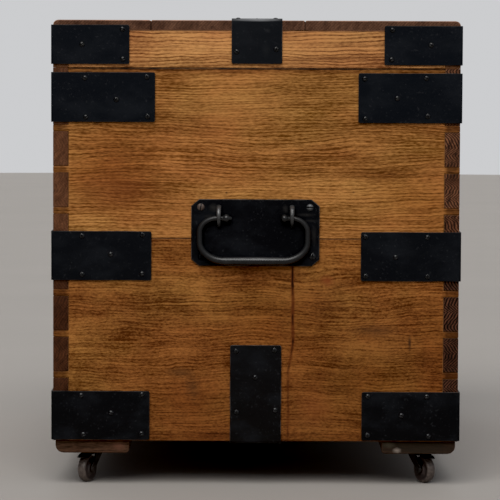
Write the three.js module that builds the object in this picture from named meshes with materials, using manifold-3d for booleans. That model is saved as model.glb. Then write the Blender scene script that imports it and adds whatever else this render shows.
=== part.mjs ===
// An iron-bound oak travelling chest: a dovetailed case on four swivel castors,
// a hinged lid with a shallow rim, iron corner straps and a drop handle at each end.
// Millimetres, +Z up. X runs from the lock side (front) to the hinge side (back),
// Y from the near end to the far end. The origin is under the middle of the whole chest.
import * as THREE from 'three';
import { mergeVertices } from 'three/addons/utils/BufferGeometryUtils.js';
import Module from 'manifold-3d';

const wasm = await Module();
wasm.setup();

// Clearances
const FIT = 0.3; // between two pieces that touch
const SEAM = 0.5; // between the case and the closed lid
const OVERRUN = 2; // how far a cutter runs past its piece, or a joined shape into it

// Case and lid: boards
const CASE_WIDTH = 483;
const CASE_LENGTH = 760;
const CASE_HEIGHT = 444;
const BOARD = 18;
const BOTTOM_BOARD = 14;
const LID_RIM = 44;
const LID_BOARD = 12;
const LID_EDGE_RADIUS = 6;
const LID_GROOVE = 1.5; // width and depth of the V at each joint between the lid's boards
const LID_JOINT_SHARES = [-0.26, 0.118]; // of the width, from the middle

// Dovetails
const PIN_HEIGHT = 7;
const PIN_PITCH = 49;
const PIN_FIRST = 22; // first pin's centre, below the top of the case
const PIN_MARGIN = 20; // least height left below the last pin
const PIN_SLOPE_SHARE = 1 / 7;
const LID_PIN_SHARE = 0.59; // of the rim's height

// Iron straps and plates
const PLATE = 2;
const TOP_STRAP = { leg: 121, height: 59, gap: 5 }; // gap: below the top of the case
const MIDDLE_STRAP = { leg: 117, height: 58.5, rise: 192 }; // rise: above the bottom of the case
const BOTTOM_STRAP = { leg: 115, height: 58.5, rise: 1 };
const LID_STRAP = { leg: 90.5, height: 46.5, rise: 4 }; // rise: above the rim's lower edge
const LID_PLATE = { width: 60, reach: 70, rise: 5 }; // reach: along the top of the lid
const FOOT_PLATE = { width: 61, height: 115, reach: 60 }; // reach: under the bottom
const BEND_STEPS = 3;

// Screws
const SCREW_RADIUS = 3.4;
const SCREW_HEIGHT = 1.6;
const SCREW_SIDES = 6;
const SCREW_CROWN_SHARE = 0.55; // radius at the top of a head
const HANDLE_SCREW_RADIUS = 4.5;
const HANDLE_SCREW_HEIGHT = 2;
// Places on a leg as shares of its length from the corner and of its height from below
const STRAP_SCREW_SHARES = [[0.32, 0.89], [0.93, 0.9], [0.62, 0.5], [0.32, 0.11], [0.93, 0.11]];
const LID_STRAP_SCREW_SHARES = [[0.92, 0.88], [0.92, 0.12], [0.4, 0.5]];
// Places on a plate as shares of its width from the middle and of its height or reach
const FOOT_SCREW_SHARES = [[-0.36, 0.93], [0.37, 0.94], [0, 0.66], [-0.35, 0.3], [0.38, 0.32]];
const PAIR_SCREW_SHARES = [[-0.38, 0.3], [0.38, 0.3]];

// Handles
const HANDLE_AXIS_RISE = 266.5; // pivot above the bottom of the case
const HANDLE_SHIFT = -1; // off the middle of the end board, seen from outside
const HANDLE_PLATE = { width: 152.6, height: 79.5, rise: 22.5, thickness: 3 }; // rise: above the pivot
const HANDLE_CORNER = { across: 9.5, up: 8 };
const HANDLE_SCREW_INSET = 10;
const STAPLE_BAR = 2; // radius of the round bar
const STAPLE_SPACING = 87; // between the two staples of a handle
const STAPLE_STEPS = 10;
const BAIL_HALF = 64.5; // from the bail's middle to its side bars
const BAIL_SHIFT = -2; // the bail has slid along its staples
const BAIL_DROP = 50.5; // from the pivot down to the grip
const BAIL_TOP_RADIUS = 16;
const BAIL_BOTTOM_RADIUS = 20;
const BAIL_GRIP = 5; // radius of the bar in the middle of the grip
const BAIL_SIDE = 3.7;
const BAIL_STUB = 3.5;
const BAIL_KNOB = { radius: 5, length: 9, gap: 1.5 }; // gap: between the knob and its staple
const KNOB_SHOULDER_SHARE = 0.85;
const BAIL_PLAY = 2.5; // the pivot lies this far below the middle of the staple
const BAIL_CLEARANCE = 0.45; // between the grip and the handle plate
const BAIL_ARC_STEPS = 5;
const BAR_SIDES = 8;

// Feet and castors
const BLOCK = { width: 88, length: 95, height: 15, inset: 2.5 };
const BLOCK_OUTER_RADIUS = 9;
const BLOCK_INNER_RADIUS = 4;
const WHEEL_RADIUS = 16.25;
const WHEEL_WIDTH = 12;
const WHEEL_SIDES = 24;
const WHEEL_CHAMFER = 2;
const WHEEL_DISH = 1; // how far the wheel's faces lie behind its hub's
const HUB_RADIUS = 6.5;
const WHEEL_HEADROOM = 1.9; // between the wheel and the horn's crown
const WHEEL_SIDE_GAP = 0.6;
const AXLE_RADIUS = 2.5;
const AXLE_HEAD = { radius: 4.2, height: 1.2 };
const TRAIL = 18; // from the pivot to the axle
const HORN = 2; // thickness of the horn's sheet
const HORN_BACK = 9; // how far the crown reaches behind the pivot
const HORN_EYE = 5; // radius of the horn round the axle
const CASTOR_PLATE = 46;
const KINGPIN_RADIUS = 3.5;
const KINGPIN_HEAD = { radius: 6, height: 1.8 };
const ROUND_SIDES = 12;
// Where each castor trails, in degrees from +X
const CASTOR_ANGLES = { near_front: -115, near_back: -59, far_front: 140, far_back: 25 };

// Hinges
const HINGE_WIDTH = 60;
const HINGE_LEAF = 38; // height of a leaf from the pin's axis
const HINGE_SPACING = 380;
const KNUCKLE_RADIUS = 4.2;
const HINGE_PIN_RADIUS = 2.2;
const KNUCKLES = 5;
const KNUCKLE_GAP = 0.4;
const HINGE_SCREW_SHARES = [[-0.34, 0.42], [0.34, 0.42], [0, 0.76]];

// Lock
const LOCK = { width: 80, height: 52, depth: 12, drop: 2 }; // drop: below the top of the case
const LINK_PLATE = { width: 56, height: 18, thickness: 2, rise: 3 };
const LINK_PRONG = { width: 9, thickness: 3, offset: 5, drop: 11 }; // drop: below the top of the case
const LINK_CLEARANCE = 1.2;

// Levels and places that follow from the sizes above
const CROWN_BOTTOM = 2 * WHEEL_RADIUS + WHEEL_HEADROOM;
const CASTOR_PLATE_BOTTOM = CROWN_BOTTOM + HORN + FIT;
const BLOCK_BOTTOM = CASTOR_PLATE_BOTTOM + PLATE + FIT;
const CASE_BOTTOM = BLOCK_BOTTOM + BLOCK.height + FIT;
const CASE_TOP = CASE_BOTTOM + CASE_HEIGHT;
const LID_BOTTOM = CASE_TOP + SEAM;
const LID_RIM_TOP = LID_BOTTOM + LID_RIM;
const LID_TOP = LID_RIM_TOP + FIT + LID_BOARD;
const HALF_WIDTH = CASE_WIDTH / 2;
const HALF_LENGTH = CASE_LENGTH / 2;
const PLATE_FACE = FIT + PLATE; // an iron plate's outer face, out from the board
const PIVOT_OUT = BAIL_GRIP + BAIL_CLEARANCE; // the bail's pivot, out from the handle plate
const STAPLE_RADIUS = STAPLE_BAR + BAIL_STUB + FIT + Math.hypot(PIVOT_OUT, BAIL_PLAY);
const KNUCKLE_AXIS_OUT = KNUCKLE_RADIUS + FIT;
const KNUCKLE_AXIS_HEIGHT = CASE_TOP + SEAM / 2;

const SIDES = { front: -1, back: 1 };
const ENDS = { near: -1, far: 1 };
const X_AXIS = new THREE.Vector3(1, 0, 0);
const Y_AXIS = new THREE.Vector3(0, 1, 0);
const Z_AXIS = new THREE.Vector3(0, 0, 1);

// Materials
const paint = (color, roughness, metalness) =>
  new THREE.MeshStandardMaterial({ color, roughness, metalness, flatShading: true });
const OAK = paint(0x9b6232, 0.6, 0);
const OAK_LID = paint(0xb27c48, 0.6, 0);
const OAK_DARK = paint(0x6b4429, 0.7, 0);
const IRON = paint(0x14181c, 0.45, 0.6);
const WORN_IRON = paint(0x2a2c2f, 0.4, 0.8);
const CASTOR_METAL = paint(0x3a2a20, 0.5, 0.8);
const HINGE_STEEL = paint(0x1c1f22, 0.45, 0.7);

// Solids are joined and cut with shared vertices only
function solidOf(geometry) {
  const bare = geometry.clone();
  bare.deleteAttribute('normal');
  bare.deleteAttribute('uv');
  const merged = mergeVertices(bare);
  return new wasm.Manifold(new wasm.Mesh({
    numProp: 3,
    vertProperties: new Float32Array(merged.attributes.position.array),
    triVerts: new Uint32Array(merged.index.array),
  }));
}

function geometryOf(solid) {
  const mesh = solid.getMesh();
  const geometry = new THREE.BufferGeometry();
  geometry.setAttribute('position', new THREE.BufferAttribute(mesh.vertProperties, 3));
  geometry.setIndex(new THREE.BufferAttribute(mesh.triVerts, 1));
  return geometry;
}

function join(...geometries) {
  return geometryOf(geometries.map(solidOf).reduce((whole, piece) => whole.add(piece)));
}

function cut(geometry, ...cutters) {
  return geometryOf(cutters.map(solidOf).reduce((whole, piece) => whole.subtract(piece), solidOf(geometry)));
}

// An outline, extruded along one axis from one coordinate to another
function extrude(outline, depth) {
  const shape = outline.isShape ? outline : new THREE.Shape(outline.map(([a, b]) => new THREE.Vector2(a, b)));
  return new THREE.ExtrudeGeometry(shape, { depth, bevelEnabled: false, curveSegments: ROUND_SIDES });
}

function alongX(outlineYZ, from, to) {
  const turn = new THREE.Matrix4().makeBasis(Y_AXIS, Z_AXIS, X_AXIS);
  return extrude(outlineYZ, to - from).applyMatrix4(turn).translate(from, 0, 0);
}

function alongY(outlineXZ, from, to) {
  const turn = new THREE.Matrix4().makeBasis(X_AXIS, Z_AXIS, Y_AXIS.clone().negate());
  return extrude(outlineXZ, to - from).applyMatrix4(turn).translate(0, to, 0);
}

function alongZ(outlineXY, from, to) {
  return extrude(outlineXY, to - from).translate(0, 0, from);
}

function box(x0, x1, y0, y1, z0, z1) {
  return new THREE.BoxGeometry(Math.abs(x1 - x0), Math.abs(y1 - y0), Math.abs(z1 - z0))
    .translate((x0 + x1) / 2, (y0 + y1) / 2, (z0 + z1) / 2);
}

// Points of a circular arc, both ends included, from one direction to another in quarter turns
function arc(centreA, centreB, radius, from, to, steps) {
  return Array.from({ length: steps + 1 }, (_, step) => {
    const angle = ((from + ((to - from) * step) / steps) * Math.PI) / 2;
    return [centreA + radius * Math.cos(angle), centreB + radius * Math.sin(angle)];
  });
}

// A round bar between two points, its facets flat to the axes
function rod(start, end, radius, sides = ROUND_SIDES) {
  const along = end.clone().sub(start);
  const turn = new THREE.Quaternion().setFromUnitVectors(Y_AXIS, along.clone().normalize());
  const middle = start.clone().add(end).multiplyScalar(1 / 2);
  return new THREE.CylinderGeometry(radius, radius, along.length(), sides)
    .applyQuaternion(turn).translate(middle.x, middle.y, middle.z);
}

// A domed screw head standing on a plate at a point, sunk into it a little
function screwHead(point, normal, radius = SCREW_RADIUS, height = SCREW_HEIGHT) {
  const sink = PLATE / 2;
  const turn = new THREE.Quaternion().setFromUnitVectors(Y_AXIS, normal);
  const centre = point.clone().addScaledVector(normal, (height - sink) / 2);
  return new THREE.CylinderGeometry(radius * SCREW_CROWN_SHARE, radius, height + sink, SCREW_SIDES)
    .applyQuaternion(turn).translate(centre.x, centre.y, centre.z);
}

// A bar that bends in one plane and changes its radius: rings of points, closed at both ends
function bentBar(points, radii, planeNormal) {
  const positions = [];
  const indices = [];
  points.forEach((point, ring) => {
    const before = points[Math.max(ring - 1, 0)];
    const after = points[Math.min(ring + 1, points.length - 1)];
    const tangent = after.clone().sub(before).normalize();
    const across = planeNormal.clone().cross(tangent).normalize();
    for (let side = 0; side < BAR_SIDES; side += 1) {
      const angle = ((side + 1 / 2) * 2 * Math.PI) / BAR_SIDES;
      const corner = point.clone()
        .addScaledVector(across, radii[ring] * Math.cos(angle))
        .addScaledVector(planeNormal, radii[ring] * Math.sin(angle));
      positions.push(corner.x, corner.y, corner.z);
    }
  });
  const corner = (ring, side) => ring * BAR_SIDES + (side % BAR_SIDES);
  const last = points.length - 1;
  for (let side = 0; side < BAR_SIDES; side += 1) {
    for (let ring = 0; ring < last; ring += 1) {
      indices.push(corner(ring, side), corner(ring, side + 1), corner(ring + 1, side));
      indices.push(corner(ring, side + 1), corner(ring + 1, side + 1), corner(ring + 1, side));
    }
    if (side > 0 && side < BAR_SIDES - 1) {
      indices.push(corner(0, 0), corner(0, side + 1), corner(0, side));
      indices.push(corner(last, 0), corner(last, side), corner(last, side + 1));
    }
  }
  const geometry = new THREE.BufferGeometry();
  geometry.setAttribute('position', new THREE.Float32BufferAttribute(positions, 3));
  geometry.setIndex(indices);
  return geometry;
}

function piece(parent, name, geometry, material) {
  const mesh = new THREE.Mesh(geometry, material);
  mesh.name = name;
  parent.add(mesh);
  return mesh;
}

// Boards

// A dovetail pin seen from the side: narrow at the end face, wider inwards.
// grow is the socket's clearance, overrun how far a cutter runs out past the end face.
function pinOutline(end, centre, grow, overrun) {
  const deep = BOARD + grow;
  const outerHalf = PIN_HEIGHT / 2 + grow - overrun * PIN_SLOPE_SHARE;
  const deepHalf = PIN_HEIGHT / 2 + grow + deep * PIN_SLOPE_SHARE;
  const outerY = end * (HALF_LENGTH + overrun);
  const deepY = end * (HALF_LENGTH - deep);
  return [
    [outerY, centre - outerHalf],
    [deepY, centre - deepHalf],
    [deepY, centre + deepHalf],
    [outerY, centre + outerHalf],
  ];
}

// An end wall: a board between the front and the back, with pins that reach their faces
function endWall(end, bottom, height, pinCentres) {
  const reach = HALF_WIDTH - BOARD - FIT;
  const slab = box(-reach, reach, end * HALF_LENGTH, end * (HALF_LENGTH - BOARD), bottom, bottom + height);
  const pins = pinCentres.flatMap((centre) => [
    alongX(pinOutline(end, centre, 0, 0), -HALF_WIDTH, -reach + OVERRUN),
    alongX(pinOutline(end, centre, 0, 0), reach - OVERRUN, HALF_WIDTH),
  ]);
  return join(slab, ...pins);
}

// A front or back wall: a full-length board with a socket for each pin
function longWall(side, bottom, height, pinCentres) {
  const slab = box(side * HALF_WIDTH, side * (HALF_WIDTH - BOARD), -HALF_LENGTH, HALF_LENGTH,
    bottom, bottom + height);
  const cutterEdges = [side * (HALF_WIDTH + OVERRUN), side * (HALF_WIDTH - BOARD - OVERRUN)];
  const sockets = pinCentres.flatMap((centre) => Object.values(ENDS).map((end) =>
    alongX(pinOutline(end, centre, FIT, OVERRUN), Math.min(...cutterEdges), Math.max(...cutterEdges))));
  return cut(slab, ...sockets);
}

// The lid's boards in one: edges rounded along both sides, a V along each joint
function lidTop() {
  const bottom = LID_TOP - LID_BOARD;
  const centre = LID_TOP - LID_EDGE_RADIUS;
  const edge = HALF_WIDTH - LID_EDGE_RADIUS;
  const grooves = [...LID_JOINT_SHARES].reverse().flatMap((share) => {
    const middle = share * CASE_WIDTH;
    return [[middle + LID_GROOVE, LID_TOP], [middle, LID_TOP - LID_GROOVE], [middle - LID_GROOVE, LID_TOP]];
  });
  return alongY([
    [-HALF_WIDTH, bottom],
    [HALF_WIDTH, bottom],
    ...arc(edge, centre, LID_EDGE_RADIUS, 0, 1, BEND_STEPS),
    ...grooves,
    ...arc(-edge, centre, LID_EDGE_RADIUS, 1, 2, BEND_STEPS),
  ], -HALF_LENGTH, HALF_LENGTH);
}

// Iron

// A strap bent round one corner, its two legs alike, with its screws
function cornerStrap(side, end, leg, bottom, height, screwShares) {
  const innerX = HALF_WIDTH + FIT;
  const innerY = HALF_LENGTH + FIT;
  const outline = [
    [HALF_WIDTH - leg, innerY],
    [innerX, innerY],
    [innerX, HALF_LENGTH - leg],
    [innerX + PLATE, HALF_LENGTH - leg],
    ...arc(innerX, innerY, PLATE, 0, 1, BEND_STEPS),
    [HALF_WIDTH - leg, innerY + PLATE],
  ].map(([x, y]) => [side * x, end * y]);
  const heads = screwShares.flatMap(([legShare, heightShare]) => {
    const z = bottom + heightShare * height;
    const along = legShare * leg;
    return [
      screwHead(new THREE.Vector3(side * (HALF_WIDTH - along), end * (HALF_LENGTH + PLATE_FACE), z),
        Y_AXIS.clone().multiplyScalar(end)),
      screwHead(new THREE.Vector3(side * (HALF_WIDTH + PLATE_FACE), end * (HALF_LENGTH - along), z),
        X_AXIS.clone().multiplyScalar(side)),
    ];
  });
  return join(alongZ(outline, bottom, bottom + height), ...heads);
}

// The lid's centre plate: down over the rim and in over the top
function lidPlate(end) {
  const inner = HALF_LENGTH + FIT;
  const top = LID_TOP + FIT;
  const bottom = LID_BOTTOM + LID_PLATE.rise;
  const bend = arc(inner, top, PLATE, 0, 1, BEND_STEPS);
  const outline = [
    [inner, bottom],
    [inner + PLATE, bottom],
    ...bend,
    [HALF_LENGTH - LID_PLATE.reach, top + PLATE],
    [HALF_LENGTH - LID_PLATE.reach, top],
    [inner, top],
  ].map(([y, z]) => [end * y, z]);
  const heads = PAIR_SCREW_SHARES.flatMap(([across, up]) => {
    const x = across * LID_PLATE.width;
    return [
      screwHead(new THREE.Vector3(x, end * (HALF_LENGTH + PLATE_FACE), bottom + up * (LID_TOP - bottom)),
        Y_AXIS.clone().multiplyScalar(end)),
      screwHead(new THREE.Vector3(x, end * (HALF_LENGTH - up * LID_PLATE.reach), LID_TOP + PLATE_FACE),
        Z_AXIS),
    ];
  });
  return join(alongX(outline, -LID_PLATE.width / 2, LID_PLATE.width / 2), ...heads);
}

// The foot plate: up the middle of the end board and in under the bottom
function footPlate(end) {
  const inner = HALF_LENGTH + FIT;
  const bottom = CASE_BOTTOM - FIT;
  const outline = [
    [inner, bottom],
    [inner, CASE_BOTTOM + FOOT_PLATE.height],
    [inner + PLATE, CASE_BOTTOM + FOOT_PLATE.height],
    ...arc(inner, bottom, PLATE, 0, -1, BEND_STEPS),
    [HALF_LENGTH - FOOT_PLATE.reach, bottom - PLATE],
    [HALF_LENGTH - FOOT_PLATE.reach, bottom],
  ].map(([y, z]) => [end * y, z]);
  const heads = FOOT_SCREW_SHARES.map(([across, up]) => {
    const z = CASE_BOTTOM + up * FOOT_PLATE.height;
    const point = new THREE.Vector3(across * FOOT_PLATE.width, end * (HALF_LENGTH + PLATE_FACE), z);
    return screwHead(point, Y_AXIS.clone().multiplyScalar(end));
  });
  return join(alongX(outline, -FOOT_PLATE.width / 2, FOOT_PLATE.width / 2), ...heads);
}

// Handles, built round the bail's pivot with the plate behind it at +Y

// The plate: chamfered corners, a hole for each staple leg, a screw in each corner
function handlePlate() {
  const half = HANDLE_PLATE.width / 2;
  const top = HANDLE_PLATE.rise;
  const bottom = top - HANDLE_PLATE.height;
  const { across, up } = HANDLE_CORNER;
  const outline = [
    [-half + across, bottom], [half - across, bottom], [half, bottom + up], [half, top - up],
    [half - across, top], [-half + across, top], [-half, top - up], [-half, bottom + up],
  ];
  const face = PIVOT_OUT;
  const back = face + HANDLE_PLATE.thickness;
  const holes = [-1, 1].flatMap((side) => [-1, 1].map((way) => {
    const x = (side * STAPLE_SPACING) / 2;
    const z = BAIL_PLAY + way * STAPLE_RADIUS;
    const at = (y) => new THREE.Vector3(x, y, z);
    return rod(at(face - OVERRUN), at(back + OVERRUN), STAPLE_BAR + FIT);
  }));
  const heads = [-half + HANDLE_SCREW_INSET, half - HANDLE_SCREW_INSET].flatMap((x) =>
    [bottom + HANDLE_SCREW_INSET, top - HANDLE_SCREW_INSET].map((z) => screwHead(
      new THREE.Vector3(x, face, z), Y_AXIS.clone().negate(), HANDLE_SCREW_RADIUS, HANDLE_SCREW_HEIGHT)));
  return join(cut(alongY(outline, face, back), ...holes), ...heads);
}

// A staple: a half ring whose legs go through the plate to the board
function staple(side) {
  const x = (side * STAPLE_SPACING) / 2;
  const legEnd = PIVOT_OUT + HANDLE_PLATE.thickness;
  const ring = arc(PIVOT_OUT, BAIL_PLAY, STAPLE_RADIUS, 1, 3, STAPLE_STEPS);
  const path = [[legEnd, BAIL_PLAY + STAPLE_RADIUS], ...ring, [legEnd, BAIL_PLAY - STAPLE_RADIUS]];
  const points = path.map(([y, z]) => new THREE.Vector3(x, y, z));
  return bentBar(points, points.map(() => STAPLE_BAR), X_AXIS.clone().negate());
}

// The bail: a forged bar, thickest at the grip, its ends knobbed inside the staples
function bail() {
  const knobOuter = STAPLE_SPACING / 2 - STAPLE_BAR - BAIL_KNOB.gap;
  const knobInner = knobOuter - BAIL_KNOB.length;
  const knobMiddle = (knobInner + knobOuter) / 2;
  const knobEnd = BAIL_KNOB.length / 4;
  const halfPath = (way) => {
    const side = way * BAIL_HALF + BAIL_SHIFT;
    const topStart = side - way * BAIL_TOP_RADIUS;
    const bottomEnd = side - way * BAIL_BOTTOM_RADIUS;
    const bend = (x, z, radius, from) => arc(way * x, z, radius, from, from - 1, BAIL_ARC_STEPS)
      .map(([a, b]) => [way * a, b]);
    const knob = [
      [way * knobInner, BAIL_KNOB.radius / 2],
      [way * (knobInner + knobEnd / 2), BAIL_KNOB.radius * KNOB_SHOULDER_SHARE],
      [way * (knobMiddle - knobEnd / 2), BAIL_KNOB.radius],
      [way * (knobMiddle + knobEnd / 2), BAIL_KNOB.radius],
      [way * (knobOuter - knobEnd / 2), BAIL_KNOB.radius * KNOB_SHOULDER_SHARE],
      [way * knobOuter, BAIL_STUB],
    ].map(([x, radius]) => ({ x, z: 0, radius }));
    const top = bend(topStart, -BAIL_TOP_RADIUS, BAIL_TOP_RADIUS, 1)
      .map(([x, z]) => ({ x, z, radius: BAIL_STUB }));
    const bottom = bend(bottomEnd, BAIL_BOTTOM_RADIUS - BAIL_DROP, BAIL_BOTTOM_RADIUS, 0)
      .map(([x, z]) => ({ x, z, radius: BAIL_SIDE }));
    return [...knob, ...top, ...bottom];
  };
  const grip = { x: BAIL_SHIFT, z: -BAIL_DROP, radius: BAIL_GRIP };
  const left = halfPath(-1);
  const right = halfPath(1).reverse();
  const quarter = (from) => ({ x: (from.x + grip.x) / 2, z: grip.z, radius: BAIL_GRIP });
  const stations = [...left, quarter(left.at(-1)), grip, quarter(right[0]), ...right];
  const points = stations.map(({ x, z }) => new THREE.Vector3(x, 0, z));
  return bentBar(points, stations.map(({ radius }) => radius), Y_AXIS);
}

// Feet and castors

// A wooden block under one corner, rounded along both lower edges
function block(side, end) {
  const outer = HALF_WIDTH - BLOCK.inset;
  const inner = outer - BLOCK.width;
  const top = BLOCK_BOTTOM + BLOCK.height;
  const corner = (edge, inward, radius, quarter) =>
    arc(edge + inward * radius, BLOCK_BOTTOM + radius, radius, quarter, quarter + 1, BEND_STEPS);
  const outline = [
    [inner, top],
    ...corner(inner, 1, BLOCK_INNER_RADIUS, 2),
    ...corner(outer, -1, BLOCK_OUTER_RADIUS, 3),
    [outer, top],
  ].map(([x, z]) => [side * x, z]);
  const ends = [end * (HALF_LENGTH - BLOCK.inset), end * (HALF_LENGTH - BLOCK.inset - BLOCK.length)];
  return alongY(outline, Math.min(...ends), Math.max(...ends));
}

// The castor's top plate with the kingpin riveted through it, round the pivot's axis
function castorPlate() {
  const half = CASTOR_PLATE / 2;
  const headTop = CROWN_BOTTOM - FIT;
  const headBottom = headTop - KINGPIN_HEAD.height;
  const at = (z) => new THREE.Vector3(0, 0, z);
  return join(
    box(-half, half, -half, half, CASTOR_PLATE_BOTTOM, CASTOR_PLATE_BOTTOM + PLATE),
    rod(at(headBottom), at(CASTOR_PLATE_BOTTOM + PLATE / 2), KINGPIN_RADIUS),
    rod(at(headBottom), at(headTop), KINGPIN_HEAD.radius),
  );
}

// The horn: a crown that turns on the kingpin, two legs and the axle, trailing along +X
function castorHorn() {
  const inner = WHEEL_WIDTH / 2 + WHEEL_SIDE_GAP;
  const outer = inner + HORN;
  const top = CROWN_BOTTOM + HORN;
  const crown = alongZ([
    [-HORN_BACK, -outer / 2], [-HORN_BACK / 2, -outer], [TRAIL / 2, -outer],
    [TRAIL / 2, outer], [-HORN_BACK / 2, outer], [-HORN_BACK, outer / 2],
  ], CROWN_BOTTOM, top);
  const legOutline = [
    [-HORN_BACK / 2, top],
    [-HORN_BACK / 2, CROWN_BOTTOM - HORN],
    ...arc(TRAIL, WHEEL_RADIUS, HORN_EYE, 2.1, 4.2, 2 * BEND_STEPS),
    [TRAIL / 2, top],
  ];
  const legs = [alongY(legOutline, -outer, -inner), alongY(legOutline, inner, outer)];
  const axleAt = (y) => new THREE.Vector3(TRAIL, y, WHEEL_RADIUS);
  const axleEnd = outer + AXLE_HEAD.height;
  const axle = rod(axleAt(-inner - HORN / 2), axleAt(inner + HORN / 2), AXLE_RADIUS);
  const heads = [-1, 1].map((way) =>
    rod(axleAt(way * (outer - HORN / 2)), axleAt(way * axleEnd), AXLE_HEAD.radius));
  const hole = rod(new THREE.Vector3(0, 0, CROWN_BOTTOM - OVERRUN), new THREE.Vector3(0, 0, top + OVERRUN),
    KINGPIN_RADIUS + FIT);
  return cut(join(crown, ...legs, axle, ...heads), hole);
}

// The wheel: a crowned tread, dished faces and a bore, with one flat of its rim on the floor
function castorWheel() {
  const rim = WHEEL_RADIUS / Math.cos(Math.PI / WHEEL_SIDES);
  const shoulder = rim - WHEEL_CHAMFER;
  const bore = AXLE_RADIUS + FIT;
  const half = WHEEL_WIDTH / 2;
  const profile = [
    [bore, -half], [HUB_RADIUS, -half], [HUB_RADIUS + WHEEL_DISH, -half + WHEEL_DISH],
    [shoulder, -half + WHEEL_DISH], [rim, -half + WHEEL_DISH + WHEEL_CHAMFER],
    [rim, half - WHEEL_DISH - WHEEL_CHAMFER], [shoulder, half - WHEEL_DISH],
    [HUB_RADIUS + WHEEL_DISH, half - WHEEL_DISH], [HUB_RADIUS, half], [bore, half], [bore, -half],
  ].map(([radius, y]) => new THREE.Vector2(radius, y));
  return join(new THREE.LatheGeometry(profile, WHEEL_SIDES).rotateY(Math.PI / WHEEL_SIDES));
}

// Hinges, built round the pin's axis: the boards are at -X, the case below and the lid above

// One leaf: up is 1 for the lid's leaf and -1 for the case's, which holds the pin
function hingeLeaf(up) {
  const back = -KNUCKLE_AXIS_OUT + FIT;
  const face = back + PLATE;
  const half = HINGE_WIDTH / 2;
  const clear = up * (KNUCKLE_RADIUS + KNUCKLE_GAP);
  const tip = up * HINGE_LEAF;
  const plate = box(back, face, -half, half, clear, tip);
  const pitch = HINGE_WIDTH / KNUCKLES;
  const own = Array.from({ length: KNUCKLES }, (_, index) => index)
    .filter((index) => (index % 2 === 0) === (up < 0));
  const at = (y) => new THREE.Vector3(0, y, 0);
  const knuckles = own.flatMap((index) => {
    const start = -half + index * pitch + (index > 0 ? KNUCKLE_GAP / 2 : 0);
    const end = -half + (index + 1) * pitch - (index < KNUCKLES - 1 ? KNUCKLE_GAP / 2 : 0);
    return [
      rod(at(start), at(end), KNUCKLE_RADIUS),
      box(back, face, start, end, 0, clear + up * OVERRUN),
    ];
  });
  const heads = HINGE_SCREW_SHARES.map(([across, along]) => screwHead(
    new THREE.Vector3(face, across * HINGE_WIDTH, along * tip), X_AXIS));
  const body = join(plate, ...knuckles, ...heads);
  if (up < 0) return join(body, rod(at(-half), at(half), HINGE_PIN_RADIUS));
  return cut(body, rod(at(-half - OVERRUN), at(half + OVERRUN), HINGE_PIN_RADIUS + FIT));
}

// Lock, on the inner face of the front board

// The lock's box with a mouth in its top edge for the link
function lockCase() {
  const back = -HALF_WIDTH + BOARD + FIT;
  const top = CASE_TOP - LOCK.drop;
  const body = box(back, back + LOCK.depth, -LOCK.width / 2, LOCK.width / 2, top - LOCK.height, top);
  const prongStart = back + LINK_PRONG.offset;
  const prongEnd = prongStart + LINK_PRONG.thickness;
  const mouthHalf = LINK_PRONG.width / 2 + LINK_CLEARANCE;
  const mouth = box(prongStart - LINK_CLEARANCE, prongEnd + LINK_CLEARANCE, -mouthHalf, mouthHalf,
    CASE_TOP - LINK_PRONG.drop - LINK_CLEARANCE, top + OVERRUN);
  return cut(body, mouth);
}

// The link: a plate on the lid's rim, a foot in from it and a prong down into the lock
function lockLink() {
  const back = -HALF_WIDTH + BOARD + FIT;
  const plateBottom = LID_BOTTOM + LINK_PLATE.rise;
  const footTop = plateBottom + LINK_PLATE.thickness;
  const prongStart = back + LINK_PRONG.offset;
  const prongEnd = prongStart + LINK_PRONG.thickness;
  const half = LINK_PRONG.width / 2;
  return join(
    box(back, back + LINK_PLATE.thickness, -LINK_PLATE.width / 2, LINK_PLATE.width / 2,
      plateBottom, plateBottom + LINK_PLATE.height),
    box(back, prongEnd, -half, half, plateBottom, footTop),
    box(prongStart, prongEnd, -half, half, CASE_TOP - LINK_PRONG.drop, footTop),
  );
}

// The chest, put together
const chest = new THREE.Group();

const pinCount = Math.floor((CASE_HEIGHT - PIN_FIRST - PIN_MARGIN) / PIN_PITCH) + 1;
const casePins = Array.from({ length: pinCount }, (_, index) => CASE_TOP - PIN_FIRST - index * PIN_PITCH);
const lidPins = [LID_BOTTOM + LID_PIN_SHARE * LID_RIM];

for (const [endName, end] of Object.entries(ENDS)) {
  piece(chest, `${endName}_end`, endWall(end, CASE_BOTTOM, CASE_HEIGHT, casePins), OAK);
  piece(chest, `lid_${endName}_rail`, endWall(end, LID_BOTTOM, LID_RIM, lidPins), OAK_LID);
  piece(chest, `lid_plate_${endName}`, lidPlate(end), IRON);
  piece(chest, `foot_plate_${endName}`, footPlate(end), IRON);

  const handle = new THREE.Group();
  const pivotY = HALF_LENGTH + FIT + HANDLE_PLATE.thickness + PIVOT_OUT;
  handle.position.set(-end * HANDLE_SHIFT, end * pivotY, CASE_BOTTOM + HANDLE_AXIS_RISE);
  handle.rotation.z = end > 0 ? Math.PI : 0;
  chest.add(handle);
  piece(handle, `handle_plate_${endName}`, handlePlate(), IRON);
  piece(handle, `staple_${endName}_left`, staple(-1), WORN_IRON);
  piece(handle, `staple_${endName}_right`, staple(1), WORN_IRON);
  piece(handle, `bail_${endName}`, bail(), WORN_IRON);
}

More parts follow.
